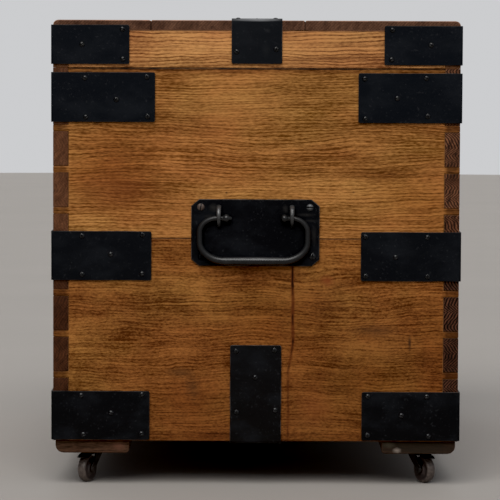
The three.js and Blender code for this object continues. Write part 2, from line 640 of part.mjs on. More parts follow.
for (const [sideName, side] of Object.entries(SIDES)) {
  piece(chest, `${sideName}_board`, longWall(side, CASE_BOTTOM, CASE_HEIGHT, casePins), OAK_DARK);
  piece(chest, `lid_${sideName}_rail`, longWall(side, LID_BOTTOM, LID_RIM, lidPins), OAK_LID);

  for (const [endName, end] of Object.entries(ENDS)) {
    const corner = `${endName}_${sideName}`;
    const straps = {
      top: [TOP_STRAP, CASE_TOP - TOP_STRAP.gap - TOP_STRAP.height, STRAP_SCREW_SHARES],
      middle: [MIDDLE_STRAP, CASE_BOTTOM + MIDDLE_STRAP.rise, STRAP_SCREW_SHARES],
      bottom: [BOTTOM_STRAP, CASE_BOTTOM + BOTTOM_STRAP.rise, STRAP_SCREW_SHARES],
      lid: [LID_STRAP, LID_BOTTOM + LID_STRAP.rise, LID_STRAP_SCREW_SHARES],
    };
    for (const [level, [size, bottom, screwShares]] of Object.entries(straps)) {
      const strap = cornerStrap(side, end, size.leg, bottom, size.height, screwShares);
      piece(chest, `${level}_strap_${corner}`, strap, IRON);
    }

    piece(chest, `block_${corner}`, block(side, end), OAK_DARK);
    const castor = new THREE.Group();
    castor.position.set(
      side * (HALF_WIDTH - BLOCK.inset - BLOCK.width / 2),
      end * (HALF_LENGTH - BLOCK.inset - BLOCK.length / 2),
      0,
    );
    chest.add(castor);
    piece(castor, `castor_plate_${corner}`, castorPlate(), CASTOR_METAL);
    const swivel = new THREE.Group();
    swivel.rotation.z = THREE.MathUtils.degToRad(CASTOR_ANGLES[corner]);
    castor.add(swivel);
    piece(swivel, `castor_horn_${corner}`, castorHorn(), CASTOR_METAL);
    piece(swivel, `castor_wheel_${corner}`, castorWheel(), CASTOR_METAL).position.set(TRAIL, 0, WHEEL_RADIUS);
  }
}

const floor = HALF_WIDTH - BOARD - FIT;
const floorEnd = HALF_LENGTH - BOARD - FIT;
const bottomBoard = box(-floor, floor, -floorEnd, floorEnd, CASE_BOTTOM, CASE_BOTTOM + BOTTOM_BOARD);
piece(chest, 'bottom_board', bottomBoard, OAK_DARK);
piece(chest, 'lid_top', lidTop(), OAK_LID);

for (const [endName, end] of Object.entries(ENDS)) {
  const hinge = new THREE.Group();
  hinge.position.set(HALF_WIDTH + KNUCKLE_AXIS_OUT, (end * HINGE_SPACING) / 2, KNUCKLE_AXIS_HEIGHT);
  chest.add(hinge);
  piece(hinge, `hinge_case_leaf_${endName}`, hingeLeaf(-1), HINGE_STEEL);
  piece(hinge, `hinge_lid_leaf_${endName}`, hingeLeaf(1), HINGE_STEEL);
}

piece(chest, 'lock_case', lockCase(), HINGE_STEEL);
piece(chest, 'lock_link', lockLink(), HINGE_STEEL);

// The hinges stand out further than the screws at the front, so the whole chest is centred here
const bounds = new THREE.Box3().setFromObject(chest);
chest.position.x = -(bounds.min.x + bounds.max.x) / 2;

export default chest;
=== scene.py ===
"""An iron-bound oak travelling chest on castors: oak boards, blackened iron straps,
a drop handle at each end, wooden corner blocks and small swivel castors."""
import math
import random

import bmesh
import bpy
from mathutils import Matrix, Vector, noise


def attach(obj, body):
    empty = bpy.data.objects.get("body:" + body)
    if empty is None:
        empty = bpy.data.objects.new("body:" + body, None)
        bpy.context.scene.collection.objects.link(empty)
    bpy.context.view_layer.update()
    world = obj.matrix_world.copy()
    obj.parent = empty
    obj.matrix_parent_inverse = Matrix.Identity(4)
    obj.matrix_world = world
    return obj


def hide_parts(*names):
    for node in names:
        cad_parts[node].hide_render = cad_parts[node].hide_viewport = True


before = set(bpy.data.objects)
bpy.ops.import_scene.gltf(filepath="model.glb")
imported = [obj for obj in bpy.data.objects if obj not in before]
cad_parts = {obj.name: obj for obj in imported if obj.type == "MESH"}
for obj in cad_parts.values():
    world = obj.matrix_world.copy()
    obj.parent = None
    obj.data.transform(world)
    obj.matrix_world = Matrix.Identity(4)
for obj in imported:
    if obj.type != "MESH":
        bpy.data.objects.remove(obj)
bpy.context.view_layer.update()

# Camera: square on to the near end from 3.6 m through a long lens, at the height of the
# chest's upper half, tipped a little down and turned a hair about its own axis.
scene = bpy.context.scene
camera_data = bpy.data.cameras.new("camera")
camera_data.sensor_width = 36.0
camera_data.lens = 197.1
camera = bpy.data.objects.new("camera", camera_data)
scene.collection.objects.link(camera)


def turned(degrees, axis):
    """A turn about an axis."""
    return Matrix.Rotation(math.radians(degrees), 4, axis)


camera.location = (-0.0097, -3.630, 0.487)
camera.rotation_euler = (turned(86.406, "X") @ turned(0.23, "Z")).to_euler()
scene.camera = camera
scene.view_settings.view_transform = "Standard"
scene.view_settings.look = "None"
scene.view_settings.use_curve_mapping = True
scene.view_settings.curve_mapping.black_level = (0.005, 0.005, 0.005)

# Light: one broad soft lamp from high on the left in front, weak ones from the right and
# from behind, and a plain pale room all round.
WALL_TONE = (0.604, 0.610, 0.624, 1.0)
ROOM_TONE = (0.150, 0.155, 0.165, 1.0)
for lamp_name, strength, spread, tint, aim in (
    ("key_lamp", 2.75, 50, (1.0, 0.985, 0.96), (0.14, 0.68, -0.80)),
    ("side_lamp", 0.5, 70, (0.93, 0.96, 1.0), (-0.75, 0.45, -0.60)),
    ("back_lamp", 0.5, 70, (1.0, 1.0, 1.0), (0.1, -0.7, -0.8)),
):
    lamp_data = bpy.data.lights.new(lamp_name, "SUN")
    lamp_data.energy = strength
    lamp_data.angle = math.radians(spread)
    lamp_data.color = tint
    lamp = bpy.data.objects.new(lamp_name, lamp_data)
    lamp.rotation_euler = Vector(aim).to_track_quat("-Z", "Y").to_euler()
    scene.collection.objects.link(lamp)


def connect(tree, made, inputs):
    """Fills a node's inputs by name: links an output to them, or sets a plain value."""
    for socket, value in inputs.items():
        if isinstance(value, bpy.types.NodeSocket):
            tree.links.new(value, made.inputs[socket])
        else:
            made.inputs[socket].default_value = value


def node(tree, kind, inputs=None, **settings):
    """Adds a shader node, sets its options and fills its inputs."""
    made = tree.nodes.new(kind if kind.startswith("Node") else "ShaderNode" + kind)
    for option, value in settings.items():
        setattr(made, option, value)
    connect(tree, made, inputs or {})
    return made


scene.world = bpy.data.worlds.new("room")
scene.world.use_nodes = True
room = scene.world.node_tree
room.nodes.clear()
room_light = node(room, "Background", {"Color": ROOM_TONE})
room_wall = node(room, "Background", {"Color": WALL_TONE})
seen = node(room, "LightPath").outputs["Is Camera Ray"]
room_mix = node(room, "MixShader", {0: seen, 1: room_light.outputs[0], 2: room_wall.outputs[0]})
node(room, "OutputWorld", {"Surface": room_mix.outputs[0]})

# Floor: one plain pale round floor, faintly clouded, wide enough for every view. It ends
# where the pale room begins.
FLOOR_RADIUS = 10.4
FLOOR_TONE = (0.335, 0.312, 0.290, 1.0)
FLOOR_LIGHTER = (0.3685, 0.3432, 0.3190, 1.0)


def new_material(name):
    """A material with an empty Principled surface: the material, its tree, the shader and the place."""
    material = bpy.data.materials.new(name)
    material.use_nodes = True
    tree = material.node_tree
    tree.nodes.clear()
    surface = node(tree, "BsdfPrincipled")
    node(tree, "OutputMaterial", {"Surface": surface.outputs[0]})
    return material, tree, surface, node(tree, "TexCoord").outputs["Object"]


def cloud(tree, vector, scale, detail=2.0, roughness=0.5):
    """Noise over a vector, in cells per metre: one scale, or one for each axis."""
    scale = scale if isinstance(scale, tuple) else (scale, scale, scale)
    stretched = node(tree, "Mapping", {"Vector": vector, "Scale": scale}).outputs[0]
    return node(tree, "TexNoise", {
        "Vector": stretched, "Scale": 1.0, "Detail": detail, "Roughness": roughness}).outputs[0]


def mix(tree, factor, first, second, blend="MIX"):
    """Mixes two colours by a factor."""
    return node(tree, "Mix", {0: factor, 6: first, 7: second}, data_type="RGBA", blend_type=blend).outputs[2]


def make_object(made, name, materials):
    """Turns a bmesh into an object with its materials."""
    mesh = bpy.data.meshes.new(name)
    made.to_mesh(mesh)
    made.free()
    for material in materials:
        mesh.materials.append(material)
    whole = bpy.data.objects.new(name, mesh)
    scene.collection.objects.link(whole)
    return whole


FLOOR_PAINT, tree, surface, place = new_material("floor_plain")
connect(tree, surface, {
    "Base Color": mix(tree, cloud(tree, place, 3.0, 3.0), FLOOR_TONE, FLOOR_LIGHTER),
    "Roughness": 0.62, "Specular IOR Level": 0.3})
disc = bmesh.new()
bmesh.ops.create_circle(disc, cap_ends=True, segments=128, radius=FLOOR_RADIUS)
make_object(disc, "floor", [FLOOR_PAINT])

# End boards: two oak boards glued edge to edge, grain across, cut with dovetail pins that
# show at the corners. Varnished to a warm honey brown, raw on the inside.
END_JOINT = 0.2963
ARRIS = 0.0006
SEAM_LIFT = 0.00035
HAIR = 1e-6
X = Vector((1, 0, 0))
Y = Vector((0, 1, 0))
Z = Vector((0, 0, 1))
ENDS = (("near", Y), ("far", -Y))
SIDES = (("front", X), ("back", -X))


def ramp(tree, value, low, high, start=0.0, end=1.0):
    """Maps low..high to start..end, and holds it there."""
    return node(tree, "MapRange", {
        "Value": value, "From Min": low, "From Max": high, "To Min": start, "To Max": end}).outputs[0]


def maths(tree, operation, first, second=0.0, kind="Math"):
    """Works on one or two numbers, or on two vectors where kind is VectorMath."""
    return node(tree, kind, {0: first, 1: second}, operation=operation).outputs[0]


def plus(tree, first, *others):
    """Adds numbers up."""
    for other in others:
        first = maths(tree, "ADD", first, other)
    return first


def times(tree, first, *others):
    """Multiplies numbers."""
    for other in others:
        first = maths(tree, "MULTIPLY", first, other)
    return first


def effect_group(name, given, made=None):
    """A shader node group with named sockets, their names listed by kind."""
    group = bpy.data.node_groups.new(name, "ShaderNodeTree")
    for direction, sockets in (("INPUT", given), ("OUTPUT", made or {"Color": "Color"})):
        for kind, labels in sockets.items():
            for label in labels.split():
                group.interface.new_socket(label, in_out=direction, socket_type="NodeSocket" + kind)
    return group, node(group, "NodeGroupInput").outputs, node(group, "NodeGroupOutput")


def effect(tree, group, **given):
    """Places a node group in a material with its own values, and returns its outputs."""
    return node(tree, "Group", given, node_tree=group).outputs


def oak_group():
    """Oak: broad tone bands, fine lines and dark pore dashes that run along X, and old blotches."""
    group, taken, out = effect_group(
        "oak_grain",
        {"Vector": "Vector", "Color": "Light Dark Pore", "Float": "Bands Lines Pores Rings Pitch"},
        {"Color": "Color", "Float": "Height Blotch"})
    place = taken["Vector"]

    def swing(value, *amounts):
        """A noise value swung about zero, times its amounts."""
        return times(group, maths(group, "SUBTRACT", value, 0.5), times(group, *amounts))

    wave = cloud(group, place, (4.0, 6.0, 16.0))
    ripple = cloud(group, place, (22.0, 30.0, 40.0), 1.0)
    rise = plus(group, swing(wave, 0.022), swing(ripple, 0.0028))
    shift = node(group, "CombineXYZ", {2: rise}).outputs[0]
    along = maths(group, "ADD", place, shift, "VectorMath")
    bands = cloud(group, along, (1.8, 16.0, 34.0), 3.0, 0.55)
    patches = cloud(group, place, (8.0, 16.0, 18.0), 5.0, 0.68)
    lines = cloud(group, along, (9.0, 90.0, 640.0), 1.0, 0.6)
    rings = cloud(group, along, (8.0, 60.0, 230.0), 2.0, 0.6)
    grit = cloud(group, along, (170.0, 400.0, 800.0), 1.0, 0.6)
    spacing = cloud(group, place, (3.0, 30.0, 13.0))
    tremble = cloud(group, place, (26.0, 90.0, 70.0))
    level = node(group, "SeparateXYZ", {0: along}).outputs["Z"]
    phase = plus(group, times(group, maths(group, "DIVIDE", level, taken["Pitch"]), math.tau),
                 times(group, spacing, 26.0), times(group, tremble, 7.0))
    thin_lines = ramp(group, maths(group, "SINE", phase), 0.0, 1.0, 0.4, -1.0)
    year_lines = times(group, thin_lines, ramp(group, rings, 0.35, 0.62, 0.35, 1.0))
    tone = plus(group, swing(bands, taken["Bands"]), swing(patches, taken["Bands"], 1.9),
                swing(lines, taken["Lines"], 0.70), swing(rings, taken["Lines"], 0.35),
                swing(grit, taken["Lines"], 0.8), times(group, year_lines, taken["Rings"]))
    bare = mix(group, ramp(group, tone, -0.5, 0.5), taken["Dark"], taken["Light"])
    warmth = cloud(group, place, (5.0, 9.0, 12.0), 4.0, 0.6)
    cast = mix(group, ramp(group, warmth, 0.38, 0.62), (1.0, 0.90, 0.86, 1), (1.0, 1.06, 1.01, 1))
    wood = mix(group, 1.0, bare, cast, "MULTIPLY")
    flecks = ramp(group, cloud(group, along, (15.0, 260.0, 430.0)), 0.58, 0.74)
    pores = ramp(group, cloud(group, along, (48.0, 500.0, 820.0), 1.0), 0.58, 0.70)
    early = ramp(group, bands, 0.64, 0.42, 0.35, 1.0)
    dark_amount = times(group, maths(group, "MAXIMUM", flecks, pores), early, taken["Pores"])
    moved = maths(group, "ADD", place, (3.1, 1.147, 1.891), "VectorMath")
    blotch = cloud(group, moved, (7.0, 12.0, 20.0), 3.0, 0.6)
    connect(group, out, {
        "Color": mix(group, ramp(group, blotch, 0.40, 0.66, 0.0, 0.55),
                     mix(group, dark_amount, wood, taken["Pore"]), (0.72, 0.58, 0.50, 1), "MULTIPLY"),
        "Height": maths(group, "SUBTRACT", 1.0, dark_amount), "Blotch": blotch})
    return group


def edge_wear_group():
    """Wear along edges: a rubbed tone where the mesh is marked as worn, broken into patches."""
    group, taken, out = effect_group(
        "edge_wear", {"Vector": "Vector", "Color": "Color Rubbed", "Float": "Amount Size"})
    edge = node(group, "Attribute", attribute_name="worn").outputs["Fac"]
    spread = node(group, "TexNoise", {
        "Vector": taken["Vector"], "Scale": taken["Size"], "Detail": 3.0, "Roughness": 0.55}).outputs[0]
    rubbed = times(group, edge, times(group, ramp(group, spread, 0.38, 0.63), taken["Amount"]))
    connect(group, out, {"Color": mix(group, rubbed, taken["Color"], taken["Rubbed"])})
    return group


def soft_mark_group(name, blend):
    """A soft-edged oval mark: a stain or rubbed place laid over the colour, or a shade of it."""
    group, taken, out = effect_group(
        name, {"Vector": "Vector Centre Reach", "Color": "Color Tone", "Float": "Strength"})
    offset = maths(group, "SUBTRACT", taken["Vector"], taken["Centre"], "VectorMath")
    near = maths(group, "DIVIDE", offset, taken["Reach"], "VectorMath")
    rough_edge = node(group, "TexNoise", {"Vector": near, "Scale": 1.6, "Detail": 3.0}).outputs[0]
    length = node(group, "VectorMath", {0: near}, operation="LENGTH").outputs["Value"]
    away = plus(group, length, times(group, rough_edge, 0.7))
    amount = ramp(group, away, 1.35, 0.5, 0.0, taken["Strength"])
    connect(group, out, {"Color": mix(group, amount, taken["Color"], taken["Tone"], blend)})
    return group


def grime_and_shade_seam_group():
    """Grime in a seam, and painted shade in the gap under the lid: darkens a board where its place along one
    axis comes near a level.
    """
    group, taken, out = effect_group(
        "seam_grime_and_shade", {"Vector": "Vector", "Color": "Color Tone", "Float": "Place Level Reach"})
    uneven = ramp(group, cloud(group, taken["Vector"], 60.0, 3.0, 0.6), 0.3, 0.7, 0.6, 1.0)
    away = maths(group, "ABSOLUTE", maths(group, "SUBTRACT", taken["Place"], taken["Level"]))
    full = times(group, taken["Reach"], 0.7)
    amount = times(group, ramp(group, away, taken["Reach"], full), uneven)
    connect(group, out, {"Color": mix(group, amount, taken["Color"], taken["Tone"], "MULTIPLY")})
    return group


OAK = oak_group()
EDGE_WEAR = edge_wear_group()
SOFT_MARK = soft_mark_group("soft_mark", "MIX")
SOFT_SHADE = soft_mark_group("soft_shade", "MULTIPLY")
SEAM_GRIME_AND_SHADE = grime_and_shade_seam_group()


def rub_edges(tree, colour, place, tone, amount, size):
    """Wears a colour along the edges, in patches of that many to the metre."""
    return effect(tree, EDGE_WEAR, Vector=place, Color=colour, Rubbed=(*tone, 1), Amount=amount,
                  Size=size)["Color"]


def add_marks(tree, colour, place, marks, group=SOFT_MARK):
    """Lays soft marks over a colour. marks: (centre, size, colour, strength) of each."""
    for centre, size, tone, strength in marks:
        colour = effect(tree, group, Vector=place, Color=colour, Tone=(*tone, 1), Centre=centre,
                        Reach=size, Strength=strength)["Color"]
    return colour


def add_seams(tree, colour, place, seams):
    """Lays grime along seams, and painted shade along the gap under the lid. seams: (axis, level, reach,
    tone kept at the seam) of each.
    """
    for axis, level, reach, kept in seams:
        colour = effect(tree, SEAM_GRIME_AND_SHADE, Vector=place, Color=colour, Level=level, Reach=reach,
                        Place=node(tree, "SeparateXYZ", {0: place}).outputs[axis],
                        Tone=(kept, kept * 0.86, kept * 0.80, 1))["Color"]
    return colour


def lay_finish(tree, surface, colour, roughness, gloss, height, strength, depth=0.0004, metallic=0.0):
    """Gives a surface its colour, roughness, gloss and bumps, and returns the bumps."""
    bump = node(tree, "Bump", {"Height": height, "Strength": strength, "Distance": depth}).outputs[0]
    connect(tree, surface, {"Base Color": colour, "Roughness": roughness, "Specular IOR Level": gloss,
                            "Metallic": metallic, "Normal": bump})
    return bump


def oak(name, light, dark, along="X", offset=0.0, bands=1.0, lines=1.7, pores=0.45, worn=0.35, rings=0.25,
        pitch=0.0038, shorter=1.0, roughness=0.42, stains=(), shades=(), crack=None, seams=(), gloss=0.16):
    """One board's finish: its grain, shades and stains, a crack, worn edges, grimy seams and painted
    shade in the gap under the lid. The grain runs along X or Y, or along Y on a level board (FLAT),
    and is moved so that no two boards match."""
    material, tree, surface, place = new_material(name)
    quarter = math.pi / 2
    turn = {"X": (0, 0, 0), "Y": (0, 0, -quarter), "FLAT": (quarter, quarter, 0)}[along]
    grain_place = node(tree, "Mapping", {
        "Vector": place, "Rotation": turn, "Location": (offset, offset * 0.37, offset * 0.61),
        "Scale": (shorter, 1.0, 1.0)}).outputs[0]
    grain = effect(tree, OAK, Vector=grain_place, Light=(*light, 1), Dark=(*dark, 1), Bands=bands,
                   Pore=[tone * 0.34 for tone in dark] + [1], Lines=lines, Pores=pores, Rings=rings,
                   Pitch=pitch)
    colour = add_marks(tree, grain["Color"], place, shades, SOFT_SHADE)
    colour = add_marks(tree, colour, place, stains)
    if crack:
        colour = crack(tree, colour, place)
    colour = rub_edges(tree, colour, place, [tone * 1.25 for tone in light], worn, 45.0)
    colour = add_seams(tree, colour, place, seams)
    sheen = ramp(tree, grain["Blotch"], 0.3, 0.7, roughness - 0.06, roughness + 0.10)
    lay_finish(tree, surface, colour, sheen, gloss, grain["Height"], 0.35)
    return material


def end_grain_group():
    """Sawn end grain: curved year rings crossed by fine pale rays. Hatch brings out the slanting
    rings of a narrow end, which lean one way and then the other down the corner."""
    group, taken, out = effect_group(
        "end_grain", {"Vector": "Vector Place", "Color": "Light Dark", "Float": "Hatch"},
        {"Color": "Color", "Float": "Height"})
    rings = cloud(group, taken["Vector"], (90.0, 420.0, 90.0), 3.0, 0.6)
    rays = cloud(group, taken["Vector"], (900.0, 60.0, 900.0))
    blotch = cloud(group, taken["Vector"], 28.0, 3.0)
    tone = plus(group, ramp(group, rings, 0.3, 0.7, 0.0, 0.6), ramp(group, rays, 0.4, 0.7, 0.0, 0.4))
    colour = mix(group, tone, taken["Dark"], taken["Light"])
    parts = node(group, "SeparateXYZ", {0: taken["Place"]}).outputs
    uneven = times(group, cloud(group, taken["Place"], (0.0, 0.0, 45.0)), 0.035)
    lean = maths(group, "PINGPONG", plus(group, parts["Z"], uneven), 0.0125)
    slanted = plus(group, times(group, parts["X"], 1.1), lean)
    phase = plus(group, times(group, slanted, math.tau / 0.0041), times(group, blotch, 7.0))
    rings_seen = ramp(group, maths(group, "SINE", phase), -0.6, 0.6)
    colour = mix(group, times(group, rings_seen, taken["Hatch"]), colour,
                 mix(group, 0.5, taken["Dark"], (0, 0, 0, 1)))
    dirt = ramp(group, blotch, 0.42, 0.68, 0.0, 0.75)
    colour = mix(group, dirt, colour, (0.45, 0.38, 0.35, 1), "MULTIPLY")
    connect(group, out, {"Color": colour, "Height": rings})
    return group


END_GRAIN = end_grain_group()


def end_grain(name, light, dark, offset=0.0, hatch=0.0, seams=(), edge=1.7):
    """The finish of boards' sawn ends."""
    material, tree, surface, place = new_material(name)
    tilted = node(tree, "Mapping", {
        "Vector": place, "Location": (offset, offset, offset), "Rotation": (0.5, 0.55, 0.5)}).outputs[0]
    grain = effect(tree, END_GRAIN, Vector=tilted, Place=place, Light=(*light, 1), Dark=(*dark, 1),
                   Hatch=hatch)
    colour = rub_edges(tree, grain["Color"], place, [tone * edge for tone in light], 0.6, 28.0)
    colour = add_seams(tree, colour, place, seams)
    lay_finish(tree, surface, colour, 0.55, 0.12, grain["Height"], 0.3)
    return material


def long_crack(tree, colour, place):
    """A fine upright split in the lower board under the handle, reddish where glue has run into it."""
    parts = node(tree, "SeparateXYZ", {0: place}).outputs
    bend = plus(tree, ramp(tree, parts["Z"], 0.138, 0.170, 0.0362, 0.0420),
                ramp(tree, parts["Z"], 0.170, 0.270, 0.0, -0.0012))
    wander = ramp(tree, cloud(tree, place, (0.0, 0.0, 38.0), 3.0), 0.3, 0.7, -0.0006, 0.0006)
    beside = maths(tree, "ABSOLUTE", maths(tree, "SUBTRACT", parts["X"], plus(tree, bend, wander)))
    gape = ramp(tree, cloud(tree, place, (0.0, 0.0, 110.0)), 0.35, 0.65, 0.0004, 0.0013)
    filled = ramp(tree, cloud(tree, place, (0.0, 0.0, 34.0)), 0.44, 0.54, 0.2, 1.0)
    split = times(tree, filled, ramp(tree, beside, plus(tree, gape, 0.0004), gape))
    glue = ramp(tree, beside, 0.0027, 0.0012, 0.0, 0.85)
    ends = times(tree, ramp(tree, parts["Z"], 0.285, 0.27), ramp(tree, parts["Y"], -0.30, -0.35))
    depth = times(tree, ramp(tree, parts["Z"], 0.138, 0.175, 0.4, 0.95), ends)
    colour = mix(tree, times(tree, glue, depth), colour, (0.098, 0.021, 0.004, 1))
    return mix(tree, times(tree, split, depth), colour, (0.018, 0.004, 0.001, 1))


RAW_OAK, RAW_OAK_LONG, RAW_OAK_FLAT = (
    oak(name, (0.45, 0.255, 0.130), (0.20, 0.103, 0.047), along, offset, worn=0.1, roughness=0.7)
    for name, along, offset in (
        ("oak_inside", "X", 7.3), ("oak_inside_long", "Y", 9.1), ("oak_inside_flat", "FLAT", 6.7)))
COLUMN_SEAMS = (("X", -0.2437, 0.0195, 0.36), ("X", 0.2389, 0.0200, 0.26))
KNOT = (0.035, 0.013, 0.005)
RUDDY = (0.21, 0.060, 0.016)
SMUDGE = (0.048, 0.022, 0.008)
END_UPPER = oak(
    "oak_end_upper", (0.485, 0.220, 0.066), (0.110, 0.035, 0.002), offset=0.4, bands=0.85, pores=0.18,
    rings=0.34, stains=(
        ((-0.192, -0.38, 0.434), (0.006, 0.02, 0.0035), KNOT, 0.8),
        ((-0.038, -0.38, 0.351), (0.0022, 0.02, 0.0018), KNOT, 0.9),
        ((-0.165, -0.38, 0.352), (0.062, 0.05, 0.045), RUDDY, 0.3),
        ((0.113, -0.38, 0.352), (0.0022, 0.02, 0.0015), KNOT, 0.7),
    ), shades=(
        ((-0.17, -0.38, 0.375), (0.08, 0.05, 0.07), (0.82, 0.72, 0.60), 1.0),
        ((0.19, -0.38, 0.34), (0.09, 0.05, 0.06), (0.74, 0.62, 0.52), 1.0),
        ((0.145, -0.38, 0.372), (0.050, 0.05, 0.010), (0.72, 0.62, 0.55), 0.9),
    # The near-black seam at 0.4990 is painted shade in the gap under the lid's rim.
    ), seams=(*COLUMN_SEAMS, ("Z", 0.4975, 0.0060, 0.62), ("Z", 0.4990, 0.0026, 0.05),
              ("Z", END_JOINT, 0.0013, 0.22)))
END_LOWER = oak(
    "oak_end_lower", (0.345, 0.146, 0.038), (0.074, 0.019, 0.0008), offset=1.7, bands=0.82, pores=0.18,
    rings=0.24, shorter=1.8, gloss=0.15, crack=long_crack, stains=(
        ((0.082, -0.38, 0.246), (0.011, 0.03, 0.009), (0.17, 0.042, 0.011), 0.85),
        ((0.068, -0.38, 0.092), (0.030, 0.03, 0.030), RUDDY, 0.4),
        ((0.139, -0.38, 0.187), (0.034, 0.03, 0.010), SMUDGE, 0.5),
        ((0.181, -0.38, 0.172), (0.0026, 0.02, 0.012), KNOT, 0.9),
        ((-0.092, -0.38, 0.136), (0.020, 0.03, 0.008), SMUDGE, 0.5),
        ((-0.078, -0.38, 0.118), (0.012, 0.03, 0.020), SMUDGE, 0.45),
    ), shades=(
        # The first shade makes the board darker towards its bottom: partly the wood's tone, partly painted
        # shade.
        ((0.02, -0.38, 0.055), (0.40, 0.06, 0.12), (0.74, 0.69, 0.66), 1.0),
        ((0.13, -0.38, 0.12), (0.13, 0.06, 0.085), (0.72, 0.62, 0.54), 1.0),
        ((0.02, -0.38, 0.20), (0.10, 0.06, 0.07), (0.76, 0.68, 0.60), 1.0),
        ((-0.08, -0.38, 0.10), (0.07, 0.05, 0.04), (0.78, 0.70, 0.63), 1.0),
        ((0.21, -0.38, 0.17), (0.045, 0.04, 0.09), (0.80, 0.70, 0.62), 1.0),
    ), seams=(*COLUMN_SEAMS, ("Z", END_JOINT, 0.0010, 0.3), ("Z", 0.054, 0.012, 0.6)))
PIN_END = end_grain("oak_pin_ends", (0.19, 0.088, 0.036), (0.085, 0.038, 0.016), 0.2)


def merged_copy(name):
    """The CAD node's shape as a bmesh, with its loose triangles joined into whole faces."""
    made = bmesh.new()
    made.from_mesh(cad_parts[name].data)
    bmesh.ops.remove_doubles(made, verts=made.verts, dist=1e-5)
    bmesh.ops.dissolve_limit(made, angle_limit=math.radians(1.0), verts=made.verts, edges=made.edges)
    return made


def slice_through(made, place, facing, **cleared):
    """Cuts a whole mesh with a plane, clears a side of it where told, and returns the cut."""
    return bmesh.ops.bisect_plane(
        made, geom=made.verts[:] + made.edges[:] + made.faces[:], dist=HAIR,
        plane_co=place, plane_no=facing, **cleared)["geom_cut"]


def keep_side(made, place, outwards):
    """Cuts a solid with a plane, keeps the part behind it, and closes the cut."""
    cut = slice_through(made, place, outwards, clear_outer=True)
    rim = [part for part in cut if isinstance(part, bmesh.types.BMEdge)]
    bmesh.ops.holes_fill(made, edges=rim, sides=0)


def round_off(made, edges, width, segments, smooth=True):
    """Bevels edges and returns the new faces."""
    rounded = bmesh.ops.bevel(made, geom=edges, offset=width, segments=segments, profile=0.5,
                              affect="EDGES", clamp_overlap=True, material=-1)["faces"]
    for face in rounded:
        face.smooth = smooth
    return rounded


def soften(made, width, least_angle=25.0, segments=2):
    """Bevels every sharp outer edge, shades the new faces smooth and marks them as worn."""
    worn = made.loops.layers.float.get("worn") or made.loops.layers.float.new("worn")
    sharp = [edge for edge in made.edges
             if edge.is_manifold and edge.is_convex and edge.calc_face_angle() > math.radians(least_angle)]
    for face in round_off(made, sharp, width, segments):
        for loop in face.loops:
            loop[worn] = 1.0


def dress_board(made, along, inwards):
    """Gives faces across the grain the second finish and faces towards the inside the third."""
    made.normal_update()
    for face in made.faces:
        if abs(face.normal.dot(along)) > 0.7:
            face.material_index = 1
        elif inwards and face.normal.dot(inwards) > 0.7:
            face.material_index = 2


def finish_piece(made, name, body, replaced, materials):
    """Turns a bmesh into a named piece that rides on its body and stands for its CAD node."""
    piece = make_object(made, name, materials)
    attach(piece, body)
    if replaced:
        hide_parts(replaced)


def fit_board(name, source, body, along, inwards, finishes, keep=None, arris=ARRIS, least_angle=25.0):
    """A board from its CAD node, cut at its glue joint if it has one, its edges softened. The case's
    upper edge is lifted a little, so that no light shows under the lid's rim."""
    board = merged_copy(source)
    if body == "case":
        for point in board.verts:
            if point.co.z > 0.498:
                point.co.z += SEAM_LIFT
    if keep:
        keep_side(board, *keep)
    dress_board(board, along, inwards)
    soften(board, arris, least_angle)
    finish_piece(board, name, body, source, finishes)


for end, inwards in ENDS:
    for part, outwards, finish in (("upper", -Z, END_UPPER), ("lower", Z, END_LOWER)):
        fit_board(f"{end}_end_{part}_board", f"{end}_end", "case", X, inwards,
                  (finish, PIN_END, RAW_OAK), ((0, 0, END_JOINT), outwards))

# Front and back: two long oak boards each, glued edge to edge, grain lengthwise. Their
# dovetails show on the ends as dark end grain between the pins.
SIDE_JOINT = 0.3003
SIDE_UPPER = oak("oak_side_upper", (0.46, 0.202, 0.058), (0.110, 0.035, 0.005), "Y", 2.3,
                 # The seam at 0.4987 is painted shade in the gap under the lid.
                 seams=(("Z", 0.4987, 0.0024, 0.2), ("Z", SIDE_JOINT, 0.0012, 0.4)))
SIDE_LOWER = oak("oak_side_lower", (0.38, 0.154, 0.037), (0.090, 0.025, 0.003), "Y", 4.9,
                 seams=(("Z", SIDE_JOINT, 0.0012, 0.4), ("Z", 0.054, 0.012, 0.6)))
TAILS = {part: end_grain(f"oak_tails_{part}", *tones, edge=edge) for part, edge, *tones in (
    ("front_upper", 0.10, (0.185, 0.076, 0.036), (0.050, 0.019, 0.009), 0.7, 0.3),
    ("front_lower", 0.10, (0.098, 0.034, 0.014), (0.022, 0.008, 0.004), 1.9, 0.4),
    ("back_upper", 0.08, (0.300, 0.125, 0.062), (0.024, 0.010, 0.006), 2.2, 0.9),
    ("back_lower", 0.08, (0.170, 0.066, 0.036), (0.006, 0.003, 0.002), 1.9, 1.0),
)}
for side, inwards in SIDES:
    for part, outwards, finish in (("upper", -Z, SIDE_UPPER), ("lower", Z, SIDE_LOWER)):
        fit_board(f"{side}_{part}_board", f"{side}_board", "case", Y, inwards,
                  (finish, TAILS[f"{side}_{part}"], RAW_OAK_LONG), ((0, 0, SIDE_JOINT), outwards))

# Bottom: one thinner oak board let in between the four sides, grain lengthwise, darker and
# duller underneath than inside.
UNDERSIDE = oak("oak_underside", (0.20, 0.115, 0.06), (0.07, 0.037, 0.018), "FLAT", 6.2, roughness=0.75)
fit_board("bottom_panel", "bottom_board", "case", Y, Z, (UNDERSIDE, PIN_END, RAW_OAK_FLAT))

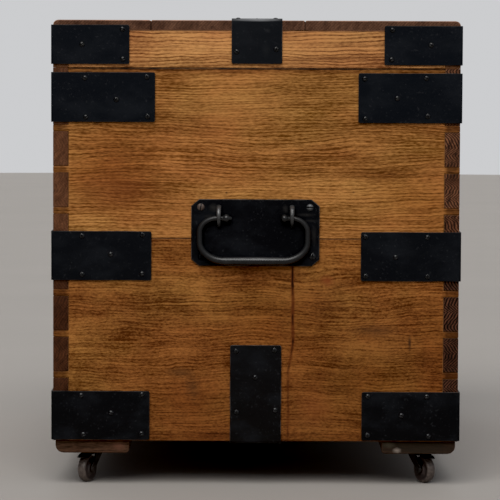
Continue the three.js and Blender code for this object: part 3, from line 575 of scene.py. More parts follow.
# Lid: a shallow rim of four oak rails with a top of three boards laid lengthwise, their
# dark end grain showing as a strip above the rim and their outer long edges rounded.
LID_JOINTS = (-0.12798, 0.05459)
LID_ARRIS = 0.0009
LID_RAIL = oak("oak_lid_rail", (0.60, 0.285, 0.100), (0.134, 0.041, 0.006), "X", 5.5, lines=1.6, pores=0.25,
               rings=0.50, pitch=0.0041, gloss=0.25,
               # The seam at 0.4985 is painted shade in the gap between the lid's rim and the case.
               seams=(("Z", 0.4985, 0.0012, 0.12), ("Z", 0.5431, 0.0016, 0.35)))
LID_RAIL_LONG = oak("oak_lid_rail_long", (0.50, 0.235, 0.078), (0.15, 0.052, 0.012), "Y", 8.4,
                    # The seam at 0.4985 is painted shade in the gap between the lid's rim and the case.
                    seams=(("Z", 0.4985, 0.0018, 0.2), ("Z", 0.5431, 0.0016, 0.35)))
LID_SEAMS = [("X", joint, 0.0011, 0.25) for joint in LID_JOINTS]
# The lid ends' edges are rubbed 2.4 times lighter: partly wear, partly a painted highlight on the rounded
# top arris.
LID_END = end_grain("oak_lid_ends", (0.190, 0.092, 0.054), (0.046, 0.020, 0.012), 2.6, 0.35, LID_SEAMS, 2.4)
LID_TAIL = end_grain("oak_lid_tails", (0.16, 0.070, 0.030), (0.060, 0.025, 0.012), 3.3)
for sides, along, finishes in ((ENDS, X, (LID_RAIL, PIN_END, RAW_OAK)),
                               (SIDES, Y, (LID_RAIL_LONG, LID_TAIL, RAW_OAK_LONG))):
    for side, inwards in sides:
        fit_board(f"lid_{side}_rim", f"lid_{side}_rail", "lid", along, inwards, finishes)
for number, (part, low, high) in enumerate((
    ("front", None, LID_JOINTS[0]), ("middle", *LID_JOINTS), ("back", LID_JOINTS[1], None),
)):
    finish = oak(f"oak_lid_{part}", (0.47 - 0.02 * number, 0.215, 0.070), (0.14, 0.050, 0.012), "FLAT",
                 10.0 + 1.7 * number, worn=0.6, seams=LID_SEAMS)
    board = merged_copy("lid_top")
    soften(board, LID_ARRIS, segments=3)
    if low is not None:
        keep_side(board, (low, 0, 0), -X)
    if high is not None:
        keep_side(board, (high, 0, 0), X)
    dress_board(board, Y, -Z)
    finish_piece(board, f"lid_{part}_board", "lid", "lid_top", (finish, LID_END, RAW_OAK_FLAT))

# Corner straps: 2 mm iron sheet bent square round each corner, blackened and lacquered,
# held by round-headed screws. Cut by hand, so the edges wander and the faces are not flat.
SHEET_BACK = 0.0003
SHEET_FACE = 0.0023
BEND_RADIUS = 0.0024
SHEET_CORNER = 0.0022
SHEET_ARRIS = 0.0004
CUT_STEP = 0.012
EDGE_WANDER = 0.00030
FACE_DENTS = 0.00018
HEAD_CUT = 0.3
CUT_RADIUS = 0.954
SLOT_HALF = 0.15
SCREW = (0.0034, 0.0016)
SEATED = 0.0001


def lacquer_and_sheen_group():
    """Black lacquer over iron: a painted sheen, bluer and lighter towards the top, dust, and chipped specks.
    """
    group, taken, out = effect_group(
        "black_lacquer_and_painted_sheen", {"Vector": "Vector", "Color": "Low High"},
        {"Color": "Color", "Float": "Dust Dents Specks"})
    height = node(group, "SeparateXYZ", {0: taken["Vector"]}).outputs["Z"]
    # Painted sheen: the colour turns bluer and lighter towards the top, as if lit from above.
    colour = mix(group, ramp(group, height, 0.05, 0.50), taken["Low"], taken["High"])
    dust = cloud(group, taken["Vector"], (18.0, 18.0, 30.0), 4.0, 0.65)
    specks = cloud(group, taken["Vector"], 320.0, 2.0, 0.6)
    colour = mix(group, ramp(group, dust, 0.48, 0.78, 0.0, 0.45), colour, (0.012, 0.014, 0.018, 1))
    colour = mix(group, ramp(group, specks, 0.63, 0.75, 0.0, 0.45), colour, (0.026, 0.027, 0.030, 1))
    dents = cloud(group, taken["Vector"], 55.0, 3.0, 0.55)
    connect(group, out, {"Color": colour, "Dust": dust, "Dents": dents, "Specks": specks})
    return group


def bare_iron_group():
    """Bare iron: dark, brighter in patches and scratches where it is rubbed, its screw slots painted near
    black as shade.
    """
    group, taken, out = effect_group(
        "bare_iron", {"Vector": "Vector", "Color": "Dark Bright"}, {"Color": "Color", "Float": "Patches"})
    patches = cloud(group, taken["Vector"], 60.0, 4.0, 0.6)
    scratches = cloud(group, taken["Vector"], (90.0, 400.0, 400.0), 3.0, 0.6)
    rubbed = plus(group, patches, times(group, scratches, 0.4))
    colour = mix(group, ramp(group, rubbed, 0.5, 0.9), taken["Dark"], taken["Bright"])
    # Painted shade: the screw slots are coloured near black.
    slot = node(group, "Attribute", attribute_name="slot").outputs["Fac"]
    colour = mix(group, slot, colour, (0.0012, 0.0012, 0.0014, 1))
    connect(group, out, {"Color": colour, "Patches": patches})
    return group


BLACK_LACQUER_AND_SHEEN = lacquer_and_sheen_group()
BARE_IRON = bare_iron_group()


def lacquered_iron(name, low_tone, sheen_high_tone, roughness, worn=0.5, marks=()):
    """Lacquered sheet with a painted sheen towards the top, hammered a little out of flat, grey where its
    edges have rubbed bare.
    """
    material, tree, surface, place = new_material(name)
    lacquer = effect(tree, BLACK_LACQUER_AND_SHEEN, Vector=place, Low=(*low_tone, 1), High=(*sheen_high_tone, 1))
    colour = add_marks(tree, lacquer["Color"], place, marks)
    colour = rub_edges(tree, colour, place, (0.085, 0.075, 0.068), worn, 70.0)
    dulled = ramp(tree, lacquer["Dust"], 0.3, 0.75, roughness, roughness + 0.12)
    dents = lay_finish(tree, surface, colour, dulled, 0.15, lacquer["Dents"], 0.5, 0.0006)
    pits = node(tree, "Bump", {
        "Height": lacquer["Specks"], "Strength": 0.12, "Distance": 0.0002, "Normal": dents})
    connect(tree, surface, {"Normal": pits.outputs[0]})
    return material


def rubbed_iron(name, dark, bright, metallic, roughness, depth=0.0005, dark_beyond=None, marks=(),
                gloss=0.5):
    """Bare or half bare iron. dark_beyond: from how far to how far from the middle it turns darker and
    duller.
    """
    material, tree, surface, place = new_material(name)
    iron = effect(tree, BARE_IRON, Vector=place, Dark=(*dark, 1), Bright=(*bright, 1))
    colour = rub_edges(tree, iron["Color"], place, bright, 0.7, 60.0)
    colour = add_marks(tree, colour, place, marks)
    dullness = ramp(tree, iron["Patches"], 0.3, 0.7, roughness + 0.12, roughness - 0.06)
    if dark_beyond:
        sideways = plus(tree, node(tree, "SeparateXYZ", {0: place}).outputs["X"], 0.0024)
        away = ramp(tree, maths(tree, "ABSOLUTE", sideways), *dark_beyond)
        colour = mix(tree, times(tree, away, 0.9), colour, (0.003, 0.003, 0.0035, 1))
        dullness = plus(tree, dullness, times(tree, away, 0.4))
    lay_finish(tree, surface, colour, dullness, gloss, iron["Patches"], 0.4, depth, metallic)
    return material


# The lacquers' top tones are a painted bluish sheen.
STRAP_IRON = lacquered_iron("iron_straps", (0.0014, 0.0014, 0.0018), (0.0026, 0.0038, 0.0062), 0.42)
SCREW_IRON = rubbed_iron("iron_screws", (0.0022, 0.0024, 0.0030), (0.012, 0.012, 0.013), 0.05, 0.16,
                         gloss=0.3)


def draw_out(made, faces):
    """Extrudes faces with the edges round them, so that none stays behind inside the solid.
    Returns the new faces and the new points."""
    edges = {edge for face in faces for edge in face.edges}
    grown = bmesh.ops.extrude_face_region(made, geom=[*faces, *edges])["geom"]
    return ([part for part in grown if isinstance(part, bmesh.types.BMFace)],
            [part for part in grown if isinstance(part, bmesh.types.BMVert)])


def close_up(made):
    """Fills what is still open and turns every face outwards."""
    bmesh.ops.holes_fill(made, edges=[edge for edge in made.edges if edge.is_boundary], sides=0)
    bmesh.ops.recalc_face_normals(made, faces=made.faces)


def screw_shape():
    """A round screw head one unit in radius, its slot along Y, standing on the XY plane."""
    made = bmesh.new()
    bmesh.ops.create_uvsphere(made, u_segments=16, v_segments=10, radius=1.0)
    slice_through(made, (0, 0, HEAD_CUT), Z, clear_inner=True)
    bmesh.ops.translate(made, vec=(0, 0, -HEAD_CUT), verts=made.verts)
    bmesh.ops.scale(made, vec=(1 / CUT_RADIUS, 1 / CUT_RADIUS, 1 / (1 - HEAD_CUT)), verts=made.verts)
    for place in (-SLOT_HALF, SLOT_HALF):
        slice_through(made, (place, 0, 0), X)
    for face in made.faces:
        face.smooth = True
        face.material_index = 1
    slot_floor = [face for face in made.faces if abs(face.calc_center_median().x) < SLOT_HALF]
    bmesh.ops.scale(made, vec=(1, 1, 0.45), verts=draw_out(made, slot_floor)[1])
    bmesh.ops.remove_doubles(made, verts=made.verts, dist=1e-5)
    close_up(made)
    # The slot's faces are marked for their painted shade.
    slot = made.loops.layers.float.new("slot")
    for face in made.faces:
        middle = face.calc_center_median()
        if abs(middle.x) < SLOT_HALF + 0.01 and middle.z > 0:
            face.smooth = False
            for loop in face.loops:
                loop[slot] = 1.0
    mesh = bpy.data.meshes.new("screw_shape")
    made.to_mesh(mesh)
    made.free()
    return mesh


SCREW_SHAPE = screw_shape()
turns = random.Random(11)


def add_screw(made, place, outwards, size=SCREW):
    """Sets one screw head of a radius and height on a face, its slot at a chance angle."""
    before = set(made.verts)
    made.from_mesh(SCREW_SHAPE)
    added = [point for point in made.verts if point not in before]
    facing = Vector(outwards).to_track_quat("Z", "Y").to_matrix().to_4x4()
    spin = Matrix.Rotation(turns.uniform(0, math.pi), 4, "Z")
    stretch = Matrix.Diagonal((size[0], size[0], size[1], 1))
    bmesh.ops.transform(made, matrix=Matrix.Translation(place) @ facing @ spin @ stretch, verts=added)
    return {face for point in added for face in point.link_faces}


def cut_evenly(made, direction, start, stop):
    """Cuts a sheet across with evenly spaced planes, so that its faces can be pressed out of flat."""
    count = int((stop - start) / CUT_STEP)
    for index in range(1, count):
        slice_through(made, direction * (start + (stop - start) * index / count), direction)


def bent_sheet(corner, along_a, along_b, across, leg_a, leg_b, width, screws_a=(), screws_b=(),
               bend=BEND_RADIUS):
    """Iron sheet bent square over an edge of the chest. Leg A runs along along_a and leg B along
    along_b from the corner; screws are (distance from the corner, distance across) on each leg."""
    made = bmesh.new()
    path = ((leg_a, -SHEET_FACE), (-SHEET_FACE, -SHEET_FACE), (-SHEET_FACE, leg_b),
            (-SHEET_BACK, leg_b), (-SHEET_BACK, -SHEET_BACK), (leg_a, -SHEET_BACK))
    flat = made.faces.new([made.verts.new((a, b, 0)) for a, b in path])
    bmesh.ops.translate(made, vec=(0, 0, width), verts=draw_out(made, [flat])[1])
    close_up(made)

    def edges_at(test):
        return [edge for edge in made.edges if all(test(point.co) for point in edge.verts)]

    round_off(made, edges_at(lambda p: max(abs(p.x + SHEET_FACE), abs(p.y + SHEET_FACE)) < HAIR), bend, 5)
    for level in (0.0, width):
        for axis, leg in ((0, leg_a), (1, leg_b)):
            tip = edges_at(lambda p: p[axis] > leg - HAIR and abs(p.z - level) < HAIR)
            round_off(made, tip, SHEET_CORNER, 3)
    soften(made, SHEET_ARRIS, 60.0)
    cut_evenly(made, X, 0.004, leg_a - 0.003)
    cut_evenly(made, Y, 0.004, leg_b - 0.003)
    cut_evenly(made, Z, 0.0, width)
    chance = turns.uniform(0, 90)
    for point in made.verts:
        free = min(1.0, max(0.0, max(point.co.x, point.co.y) - 0.002) / 0.02)
        run = point.co.x + 0.5 * point.co.y
        sideways = noise.noise((run * 30, round(point.co.z / width), chance))
        pressed = noise.noise((run * 45, point.co.z * 45, chance + 5))
        point.co[1 if point.co.x > point.co.y else 0] += FACE_DENTS * free * pressed
        point.co.z += EDGE_WANDER * sideways * free
    for distance, over in screws_a:
        add_screw(made, (distance, -SHEET_FACE + SEATED, over), -Y)
    for distance, over in screws_b:
        add_screw(made, (-SHEET_FACE + SEATED, distance, over), -X)
    turn = Matrix((along_a, along_b, across)).transposed().to_4x4()
    bmesh.ops.transform(made, matrix=Matrix.Translation(corner) @ turn, verts=made.verts)
    bmesh.ops.recalc_face_normals(made, faces=made.faces)
    return made


CORNER_X = {"front": -0.2439, "back": 0.2391}
CORNER_Y = {"near": -0.380, "far": 0.380}
STRAPS = {  # leg, height, bottom edge, body, then the near end's screws on the front and back corner
    "top": (0.121, 0.059, 0.4343, "case",
            ((0.0377, 0.0521), (0.1113, 0.0536), (0.0751, 0.0268), (0.0389, 0.0058), (0.1122, 0.0067)),
            ((0.1135, 0.0523), (0.0405, 0.0532), (0.0750, 0.0293), (0.1126, 0.0048), (0.0386, 0.0081))),
    "middle": (0.117, 0.0585, 0.2463, "case",
               ((0.0345, 0.0526), (0.1065, 0.0541), (0.0686, 0.0308), (0.0347, 0.0069), (0.1059, 0.0078)),
               ((0.1112, 0.0527), (0.0378, 0.0524), (0.0756, 0.0286), (0.1112, 0.0059), (0.0376, 0.0056))),
    "bottom": (0.115, 0.0585, 0.0553, "case",
               ((0.0335, 0.0531), (0.1059, 0.0545), (0.0691, 0.0321), (0.0361, 0.0062), (0.1054, 0.0073)),
               ((0.1078, 0.0532), (0.0373, 0.0529), (0.0674, 0.0303), (0.1078, 0.0064), (0.0352, 0.0055))),
    "lid": (0.0905, 0.0465, 0.5028, "lid",
            ((0.0822, 0.0414), (0.0828, 0.0060), (0.0344, 0.0234)),
            ((0.0811, 0.0415), (0.0821, 0.0065), (0.0352, 0.0239))),
}
for level, (leg, height, bottom, body, *measured) in STRAPS.items():
    for end, inwards_y in ENDS:
        for (side, inwards_x), screws in zip(SIDES, measured):
            scattered = [(place + turns.uniform(-0.0012, 0.0012), over + turns.uniform(-0.0008, 0.0008))
                         for place, over in screws]
            strap = bent_sheet((CORNER_X[side], CORNER_Y[end], bottom), inwards_x, inwards_y, Z, leg, leg,
                               height, screws if end == "near" else scattered, scattered)
            finish_piece(strap, f"{level}_corner_strap_{end}_{side}", body,
                         f"{level}_strap_{end}_{side}", (STRAP_IRON, SCREW_IRON))

# Centre plates: one bent over the lid's end and one under the case's foot, of the same
# blackened sheet, with a bright band painted along the bend of the lid's plate: a painted
# highlight, and partly wear.
CENTRE_IRON = lacquered_iron(
    "iron_centre_plates", (0.0026, 0.0022, 0.0022), (0.0048, 0.0058, 0.0078), 0.40, 1.0, (
        # The first two marks are a painted highlight along the bend of each lid plate.
        ((-0.0024, -0.3812, 0.5563), (0.036, 0.003, 0.0030), (0.20, 0.205, 0.215), 0.85),
        ((-0.0024, 0.3812, 0.5563), (0.036, 0.003, 0.0030), (0.20, 0.205, 0.215), 0.85),
        ((0.010, -0.3825, 0.543), (0.004, 0.01, 0.003), (0.018, 0.019, 0.021), 0.6),
        ((0.008, -0.3825, 0.520), (0.006, 0.01, 0.010), (0.012, 0.013, 0.015), 0.5)))
CENTRE_PLATES = {  # left edge, level, body, way up or down, then the legs, the width, screws, bend
    "lid": (-0.0324, 0.5551, "lid", -Z, 0.0513, 0.070, 0.060, ((0.0371, 0.0060), (0.0339, 0.0529)),
            ((0.021, 0.0075), (0.023, 0.0520), (0.058, 0.030)), 0.0036),
    "foot": (-0.0329, 0.0543, "case", Z, 0.115, 0.060, 0.061,
             ((0.1076, 0.0071), (0.1090, 0.0528), (0.0763, 0.0300), (0.0346, 0.0077), (0.0372, 0.0538))),
}
for end, inwards in ENDS:
    for kind, (left, level, body, upright, *sizes) in CENTRE_PLATES.items():
        plate = bent_sheet((left, CORNER_Y[end], level), upright, inwards, X, *sizes)
        finish_piece(plate, f"{kind}_centre_plate_{end}", body, f"{kind}_plate_{end}",
                     (CENTRE_IRON, SCREW_IRON))

# Handle: a 3 mm iron plate with clipped corners, two forged staples through it, and a bail
# of round bar, thickest at the grip, whose knobbed ends hang inside the staples.
HANDLE_MIDDLE = -0.0024
PLATE_HALF = 0.0763
PLATE_TOP = 0.3433
PLATE_BOTTOM = 0.2638
PLATE_THICK = 0.003
CLIP_ACROSS = 0.0095
CLIP_UP = 0.008
HANDLE_SCREW = (0.0044, 0.0019)
STAPLE_LEVEL = 0.3233
STAPLE_PLACE = 0.0435
STAPLE_RADIUS = 0.01164
STAPLE_BAR = 0.0019
PIVOT_LEVEL = 0.3208
PIVOT_Y = 0.38875
BAIL_SHIFT = -0.002
BAIL_HALF = 0.0640
BAIL_BAR = 0.0034
BAIL_SWELL = 0.00013
GRIP_LEVEL = -0.0505
GRIP = ((-0.022, 0.0049), (-0.010, 0.0050), (0.0, 0.00505), (0.010, 0.0050), (0.022, 0.0049))
KNOB = (  # distance from the middle, radius
    (0.0303, 0.0014), (0.0308, 0.0030), (0.0319, 0.0043), (0.0334, 0.0050), (0.0351, 0.0050),
    (0.0367, 0.0044), (0.0380, 0.0037), (0.0398, 0.0033), (0.0425, 0.0033),
)


def swept_bar(stations, sides):
    """A bar drawn through stations of (place, radius), its rings square to its path."""
    made = bmesh.new()
    places = [Vector(place) for place, radius in stations]
    directions = [(after - before).normalized()
                  for before, after in zip(places[:1] + places, places[1:] + places[-1:])]
    turn = Z.rotation_difference(directions[0]).to_matrix()
    last = Matrix.Identity(4)
    bmesh.ops.create_circle(made, cap_ends=True, segments=sides, radius=1.0)
    front = made.faces[:]
    for index, (place, radius) in enumerate(stations):
        if index:
            turn = directions[index - 1].rotation_difference(directions[index]).to_matrix() @ turn
            front = draw_out(made, front)[0]
        placed = Matrix.Translation(place) @ turn.to_4x4() @ Matrix.Diagonal((radius, radius, 1, 1))
        points = {point for face in front for point in face.verts}
        bmesh.ops.transform(made, matrix=placed @ last.inverted(), verts=list(points))
        last = placed
    close_up(made)
    for face in made.faces:
        face.smooth = True
    return made


def arc(x, z, across, up, start, finish, steps):
    """Points on an oval arc about a middle, its angles in degrees from +X towards +Z."""
    angles = [math.radians(start + (finish - start) * step / steps) for step in range(steps + 1)]
    return [(x + across * math.cos(angle), z + up * math.sin(angle)) for angle in angles]


def bail_stations(middle, out):
    """The bail at rest, from its left knob round the grip to its right knob."""
    left = BAIL_SHIFT - BAIL_HALF
    right = BAIL_SHIFT + BAIL_HALF

    def bend(bar, swell, *shape):
        return [(x, z, bar + swell * step) for step, (x, z) in enumerate(arc(*shape))]

    path = [(-0.0270, 0.0, 0.0006), (-0.0284, 0.0, 0.0022)]
    path += [(-x, 0.0, radius) for x, radius in KNOB[1:]]
    path += bend(BAIL_BAR, 0.0, left + 0.0205, -0.017, 0.0205, 0.017, 90, 180, 9)
    path += bend(0.0035, BAIL_SWELL, left + 0.030, -0.0285, 0.030, 0.022, 180, 270, 10)
    path += [(BAIL_SHIFT + x, GRIP_LEVEL, radius) for x, radius in GRIP]
    path += bend(0.0048, -BAIL_SWELL, right - 0.030, -0.0285, 0.030, 0.022, 270, 360, 10)
    path += bend(BAIL_BAR, 0.0, right - 0.0190, -0.017, 0.0190, 0.017, 0, 90, 9)
    path += [(x, 0.0, radius) for x, radius in reversed(KNOB)]
    return [((middle - out * x, out * PIVOT_Y, PIVOT_LEVEL + z), radius) for x, z, radius in path]


SMEAR = (0.030, 0.028, 0.026)
HANDLE_IRON = lacquered_iron(
    "iron_handle_plate", (0.0008, 0.0009, 0.0013), (0.0012, 0.0015, 0.0028), 0.40, 0.7, (
        ((-0.053, -0.384, 0.333), (0.007, 0.01, 0.006), SMEAR, 0.55),
        ((-0.056, -0.384, 0.322), (0.010, 0.01, 0.004), SMEAR, 0.35),
        ((0.032, -0.384, 0.332), (0.004, 0.01, 0.006), SMEAR, 0.4),
        ((0.056, -0.384, 0.325), (0.014, 0.01, 0.0025), SMEAR, 0.35),
        ((0.062, -0.384, 0.318), (0.010, 0.01, 0.002), SMEAR, 0.3),
        ((0.066, -0.384, 0.300), (0.004, 0.01, 0.014), SMEAR, 0.3)))
BAIL_IRON = rubbed_iron(
    "iron_bail", (0.0045, 0.0045, 0.0048), (0.017, 0.017, 0.0175), 0.05, 0.22, 0.00012, (0.040, 0.062),
    # A painted highlight: a bright line along the top of the grip.
    [((-0.0034, 0.0, 0.2730), (0.050, 20.0, 0.0020), (0.055, 0.055, 0.056), 0.9)], 0.36)
STAPLE_IRON = rubbed_iron("iron_staples", (0.018, 0.018, 0.019), (0.10, 0.10, 0.10), 0.6, 0.40)
GREY_SCREW = rubbed_iron("iron_screw_grey", (0.020, 0.021, 0.023), (0.09, 0.092, 0.095), 0.4, 0.36)
RUSTY_SCREW = rubbed_iron("iron_screw_rusty", (0.040, 0.026, 0.020), (0.135, 0.095, 0.078), 0.3, 0.5)
for end, out in (("near", -1), ("far", 1)):
    board_face = CORNER_Y[end] + out * SHEET_BACK
    plate_face = board_face + out * PLATE_THICK
    middle = HANDLE_MIDDLE + out * 0.001
    plate = bmesh.new()
    outline = [(x * (PLATE_HALF - cut_x), z_level + cut_z) for x, cut_x, z_level, cut_z in (
        (-1, CLIP_ACROSS, PLATE_BOTTOM, 0), (1, CLIP_ACROSS, PLATE_BOTTOM, 0),
        (1, 0, PLATE_BOTTOM, CLIP_UP), (1, 0, PLATE_TOP, -CLIP_UP), (1, CLIP_ACROSS, PLATE_TOP, 0),
        (-1, CLIP_ACROSS, PLATE_TOP, 0), (-1, 0, PLATE_TOP, -CLIP_UP), (-1, 0, PLATE_BOTTOM, CLIP_UP))]
    flat = plate.faces.new([plate.verts.new((middle + x, board_face, z)) for x, z in outline])
    bmesh.ops.translate(plate, vec=(0, out * PLATE_THICK, 0), verts=draw_out(plate, [flat])[1])
    close_up(plate)
    soften(plate, 0.0007, 60.0)
    for x, z, finish in ((-0.0683, 0.3340, 2), (0.0613, 0.3338, 3), (0.0645, 0.2756, 1),
                         (-0.0673, 0.2745, 0)):
        for face in add_screw(plate, (x, plate_face - out * SEATED, z), out * Y, HANDLE_SCREW):
            face.material_index = finish
    finish_piece(plate, f"handle_back_plate_{end}", "case", f"handle_plate_{end}",
                 (HANDLE_IRON, SCREW_IRON, RUSTY_SCREW, GREY_SCREW))
    for staple_side, across in (("left", -1), ("right", 1)):
        staple_x = middle + out * -across * STAPLE_PLACE
        ring = [(-0.002, STAPLE_LEVEL + STAPLE_RADIUS),
                *arc(0.0, STAPLE_LEVEL, STAPLE_RADIUS, STAPLE_RADIUS, 90, -90, 14),
                (-0.002, STAPLE_LEVEL - STAPLE_RADIUS)]
        staple = swept_bar([((staple_x, plate_face + out * reach, z), STAPLE_BAR) for reach, z in ring], 12)
        for point in staple.verts:
            spread = 1.05 + 0.55 * (point.co.z - 0.3097) / 0.0272
            point.co.x = staple_x + (point.co.x - staple_x) * spread
        finish_piece(staple, f"handle_staple_{end}_{staple_side}", "case",
                     f"staple_{end}_{staple_side}", (STAPLE_IRON,))
    finish_piece(swept_bar(bail_stations(middle, out), 16), f"handle_bail_{end}", f"bail_{end}",
                 f"bail_{end}", (BAIL_IRON,))

# Corner blocks: oak offcuts screwed under each corner, dark with dirt and old stain, their
# lower edges rounded. The castors are screwed up into them.
BLOCK_ARRIS = 0.0009
BLOCK_OAK = oak(
    "oak_blocks", (0.080, 0.040, 0.025), (0.020, 0.010, 0.006), "X", 3.9, pores=0.9, roughness=0.65,
    gloss=0.1, stains=(
        ((0.19, -0.377, 0.047), (0.14, 0.05, 0.05), (0.013, 0.011, 0.008), 0.85),
        ((-0.166, -0.377, 0.047), (0.010, 0.02, 0.006), (0.14, 0.058, 0.038), 0.5),
        ((0.167, -0.377, 0.043), (0.006, 0.02, 0.004), (0.22, 0.18, 0.15), 0.75),
        ((0.157, -0.377, 0.050), (0.010, 0.02, 0.005), (0.060, 0.050, 0.034), 0.6)))
BLOCK_END = end_grain("oak_block_ends", (0.065, 0.032, 0.019), (0.020, 0.010, 0.006), 4.4)
for end, _ in ENDS:
    for side, _ in SIDES:
        fit_board(f"corner_block_{end}_{side}", f"block_{end}_{side}", "case", X, None,
                  (BLOCK_OAK, BLOCK_END), arris=BLOCK_ARRIS, least_angle=28.0)

# Castors: a square iron plate with a kingpin, a bent sheet horn that turns on it, and a
# small crowned wheel on a riveted axle. Old, brown with rust, the tread scuffed lighter.
SMALL_SCREW = (0.003, 0.0012)
IRON_ARRIS = 0.0004
CASTOR_PLATE = (0.046, 0.046, 0.002)
CASTOR_PLATE_LEVEL = 0.0377
WHEEL_RADIUS = 0.01625
TREAD_FROM = 0.0141
TRAIL = 0.018
HOOD_HALF = 0.0076
HOOD_THICK = 0.0014
CASTORS = {  # pivot, then the direction it trails in, in degrees from +X
    "near_front": (-0.1974, -0.330, -115), "near_back": (0.1926, -0.330, -59),
    "far_front": (-0.1974, 0.330, 140), "far_back": (0.1926, 0.330, 25),
}
HOOD_LINE = (  # from the crown over the wheel: distance from the pivot, height
    (0.0080, 0.0346), (0.0100, 0.0343), (0.0120, 0.0334), (0.0145, 0.0330), (0.0180, 0.03335),
    (0.0210, 0.0331), (0.0239, 0.0323), (0.0266, 0.0311), (0.0290, 0.0294),
)
WHEEL_PROFILE = (  # radius, half width
    (0.0028, 0.0060), (0.0058, 0.0060), (0.0066, 0.0053), (0.0076, 0.0044), (0.0112, 0.0044),
    (0.0128, 0.0050), (0.0142, 0.0052), (0.0155, 0.0046), (0.0160, 0.0034), (0.01622, 0.0016),
    (WHEEL_RADIUS, 0.0),
)
CASTOR_IRON = rubbed_iron("castor_iron", (0.006, 0.0045, 0.004), (0.026, 0.018, 0.015), 0.1, 0.5)
WHEEL_IRON, tree, surface, place = new_material("castor_wheel_iron")
blotch = cloud(tree, place, 160.0, 4.0, 0.6)
colour = mix(tree, ramp(tree, blotch, 0.35, 0.65), (0.013, 0.009, 0.0085, 1), (0.040, 0.026, 0.023, 1))
on_tread = node(tree, "Attribute", attribute_name="tread").outputs["Fac"]
scuffs = times(tree, on_tread, ramp(tree, cloud(tree, place, 300.0, 3.0), 0.38, 0.60, 0.25, 0.95))
lay_finish(tree, surface, mix(tree, scuffs, colour, (0.088, 0.067, 0.056, 1)), 0.5, 0.5, blotch, 0.4)


def add_block(made, size, middle):
    """Adds a squared block."""
    points = bmesh.ops.create_cube(made, size=1.0)["verts"]
    bmesh.ops.scale(made, vec=size, verts=points)
    bmesh.ops.translate(made, vec=middle, verts=points)


def add_pin(made, radius, length, middle, segments, turn=Matrix.Identity(4)):
    """Adds a round pin, upright or turned."""
    bmesh.ops.create_cone(made, cap_ends=True, segments=segments, radius1=radius, radius2=radius,
                          depth=length, matrix=Matrix.Translation(middle) @ turn)


def add_hood(horn, placed):
    """The horn's hood: its sheet runs on from the crown, over the wheel and between the legs."""
    axle = Vector((TRAIL, 0, WHEEL_RADIUS))
    under = [Vector((x, 0, z)) for x, z in HOOD_LINE]
    over = [place + (place - axle).normalized() * HOOD_THICK for place in under]
    section = [horn.verts.new(place - Y * HOOD_HALF) for place in under + over[::-1]]
    drawn = draw_out(horn, [horn.faces.new(section)])[1]
    bmesh.ops.translate(horn, vec=Y * 2 * HOOD_HALF, verts=drawn)
    bmesh.ops.transform(horn, matrix=placed, verts=section + drawn)
    close_up(horn)


for corner, (pivot_x, pivot_y, angle) in CASTORS.items():
    placed = Matrix.Translation((pivot_x, pivot_y, 0)) @ turned(angle, "Z")
    plate = bmesh.new()
    add_block(plate, CASTOR_PLATE, (pivot_x, pivot_y, CASTOR_PLATE_LEVEL))
    upright = [edge for edge in plate.edges if abs(edge.verts[0].co.z - edge.verts[1].co.z) > 0.001]
    round_off(plate, upright, 0.004, 4, smooth=False)
    soften(plate, IRON_ARRIS, 60.0)
    for across, along in ((-1, -1), (-1, 1), (1, -1), (1, 1)):
        add_screw(plate, (pivot_x + across * 0.017, pivot_y + along * 0.017, 0.0368), -Z, SMALL_SCREW)
    for radius, low, high in ((0.0035, 0.0335, 0.0370), (0.006, 0.0323, 0.0341)):
        add_pin(plate, radius, high - low, (pivot_x, pivot_y, (high + low) / 2), 24)
    finish_piece(plate, f"castor_top_plate_{corner}", "case", f"castor_plate_{corner}",
                 (CASTOR_IRON, SCREW_IRON))
    horn = merged_copy(f"castor_horn_{corner}")
    add_hood(horn, placed)
    soften(horn, IRON_ARRIS, 35.0)
    finish_piece(horn, f"castor_fork_{corner}", f"castor_{corner}",
                 f"castor_horn_{corner}", (CASTOR_IRON,))
    wheel = bmesh.new()
    half = [wheel.verts.new((radius, 0, width)) for radius, width in WHEEL_PROFILE]
    half += [wheel.verts.new((radius, 0, -width)) for radius, width in reversed(WHEEL_PROFILE[:-1])]
    profile = [wheel.edges.new(pair) for pair in zip(half, half[1:] + half[:1])]
    bmesh.ops.spin(wheel, geom=half + profile, cent=(0, 0, 0), axis=Z, dvec=(0, 0, 0),
                   angle=math.tau, steps=48, use_merge=True)
    bmesh.ops.remove_doubles(wheel, verts=wheel.verts, dist=HAIR)
    bmesh.ops.recalc_face_normals(wheel, faces=wheel.faces)
    tread = wheel.loops.layers.float.new("tread")
    for face in wheel.faces:
        face.smooth = True
        for loop in face.loops:
            loop[tread] = float(loop.vert.co.xy.length > TREAD_FROM)
    facing = (placed.to_3x3() @ Y).to_track_quat("Z", "Y").to_matrix().to_4x4()
    axle = placed @ Vector((TRAIL, 0, WHEEL_RADIUS))
    bmesh.ops.transform(wheel, matrix=Matrix.Translation(axle) @ facing, verts=wheel.verts)
    finish_piece(wheel, f"castor_roller_{corner}", f"wheel_{corner}",
                 f"castor_wheel_{corner}", (WHEEL_IRON,))

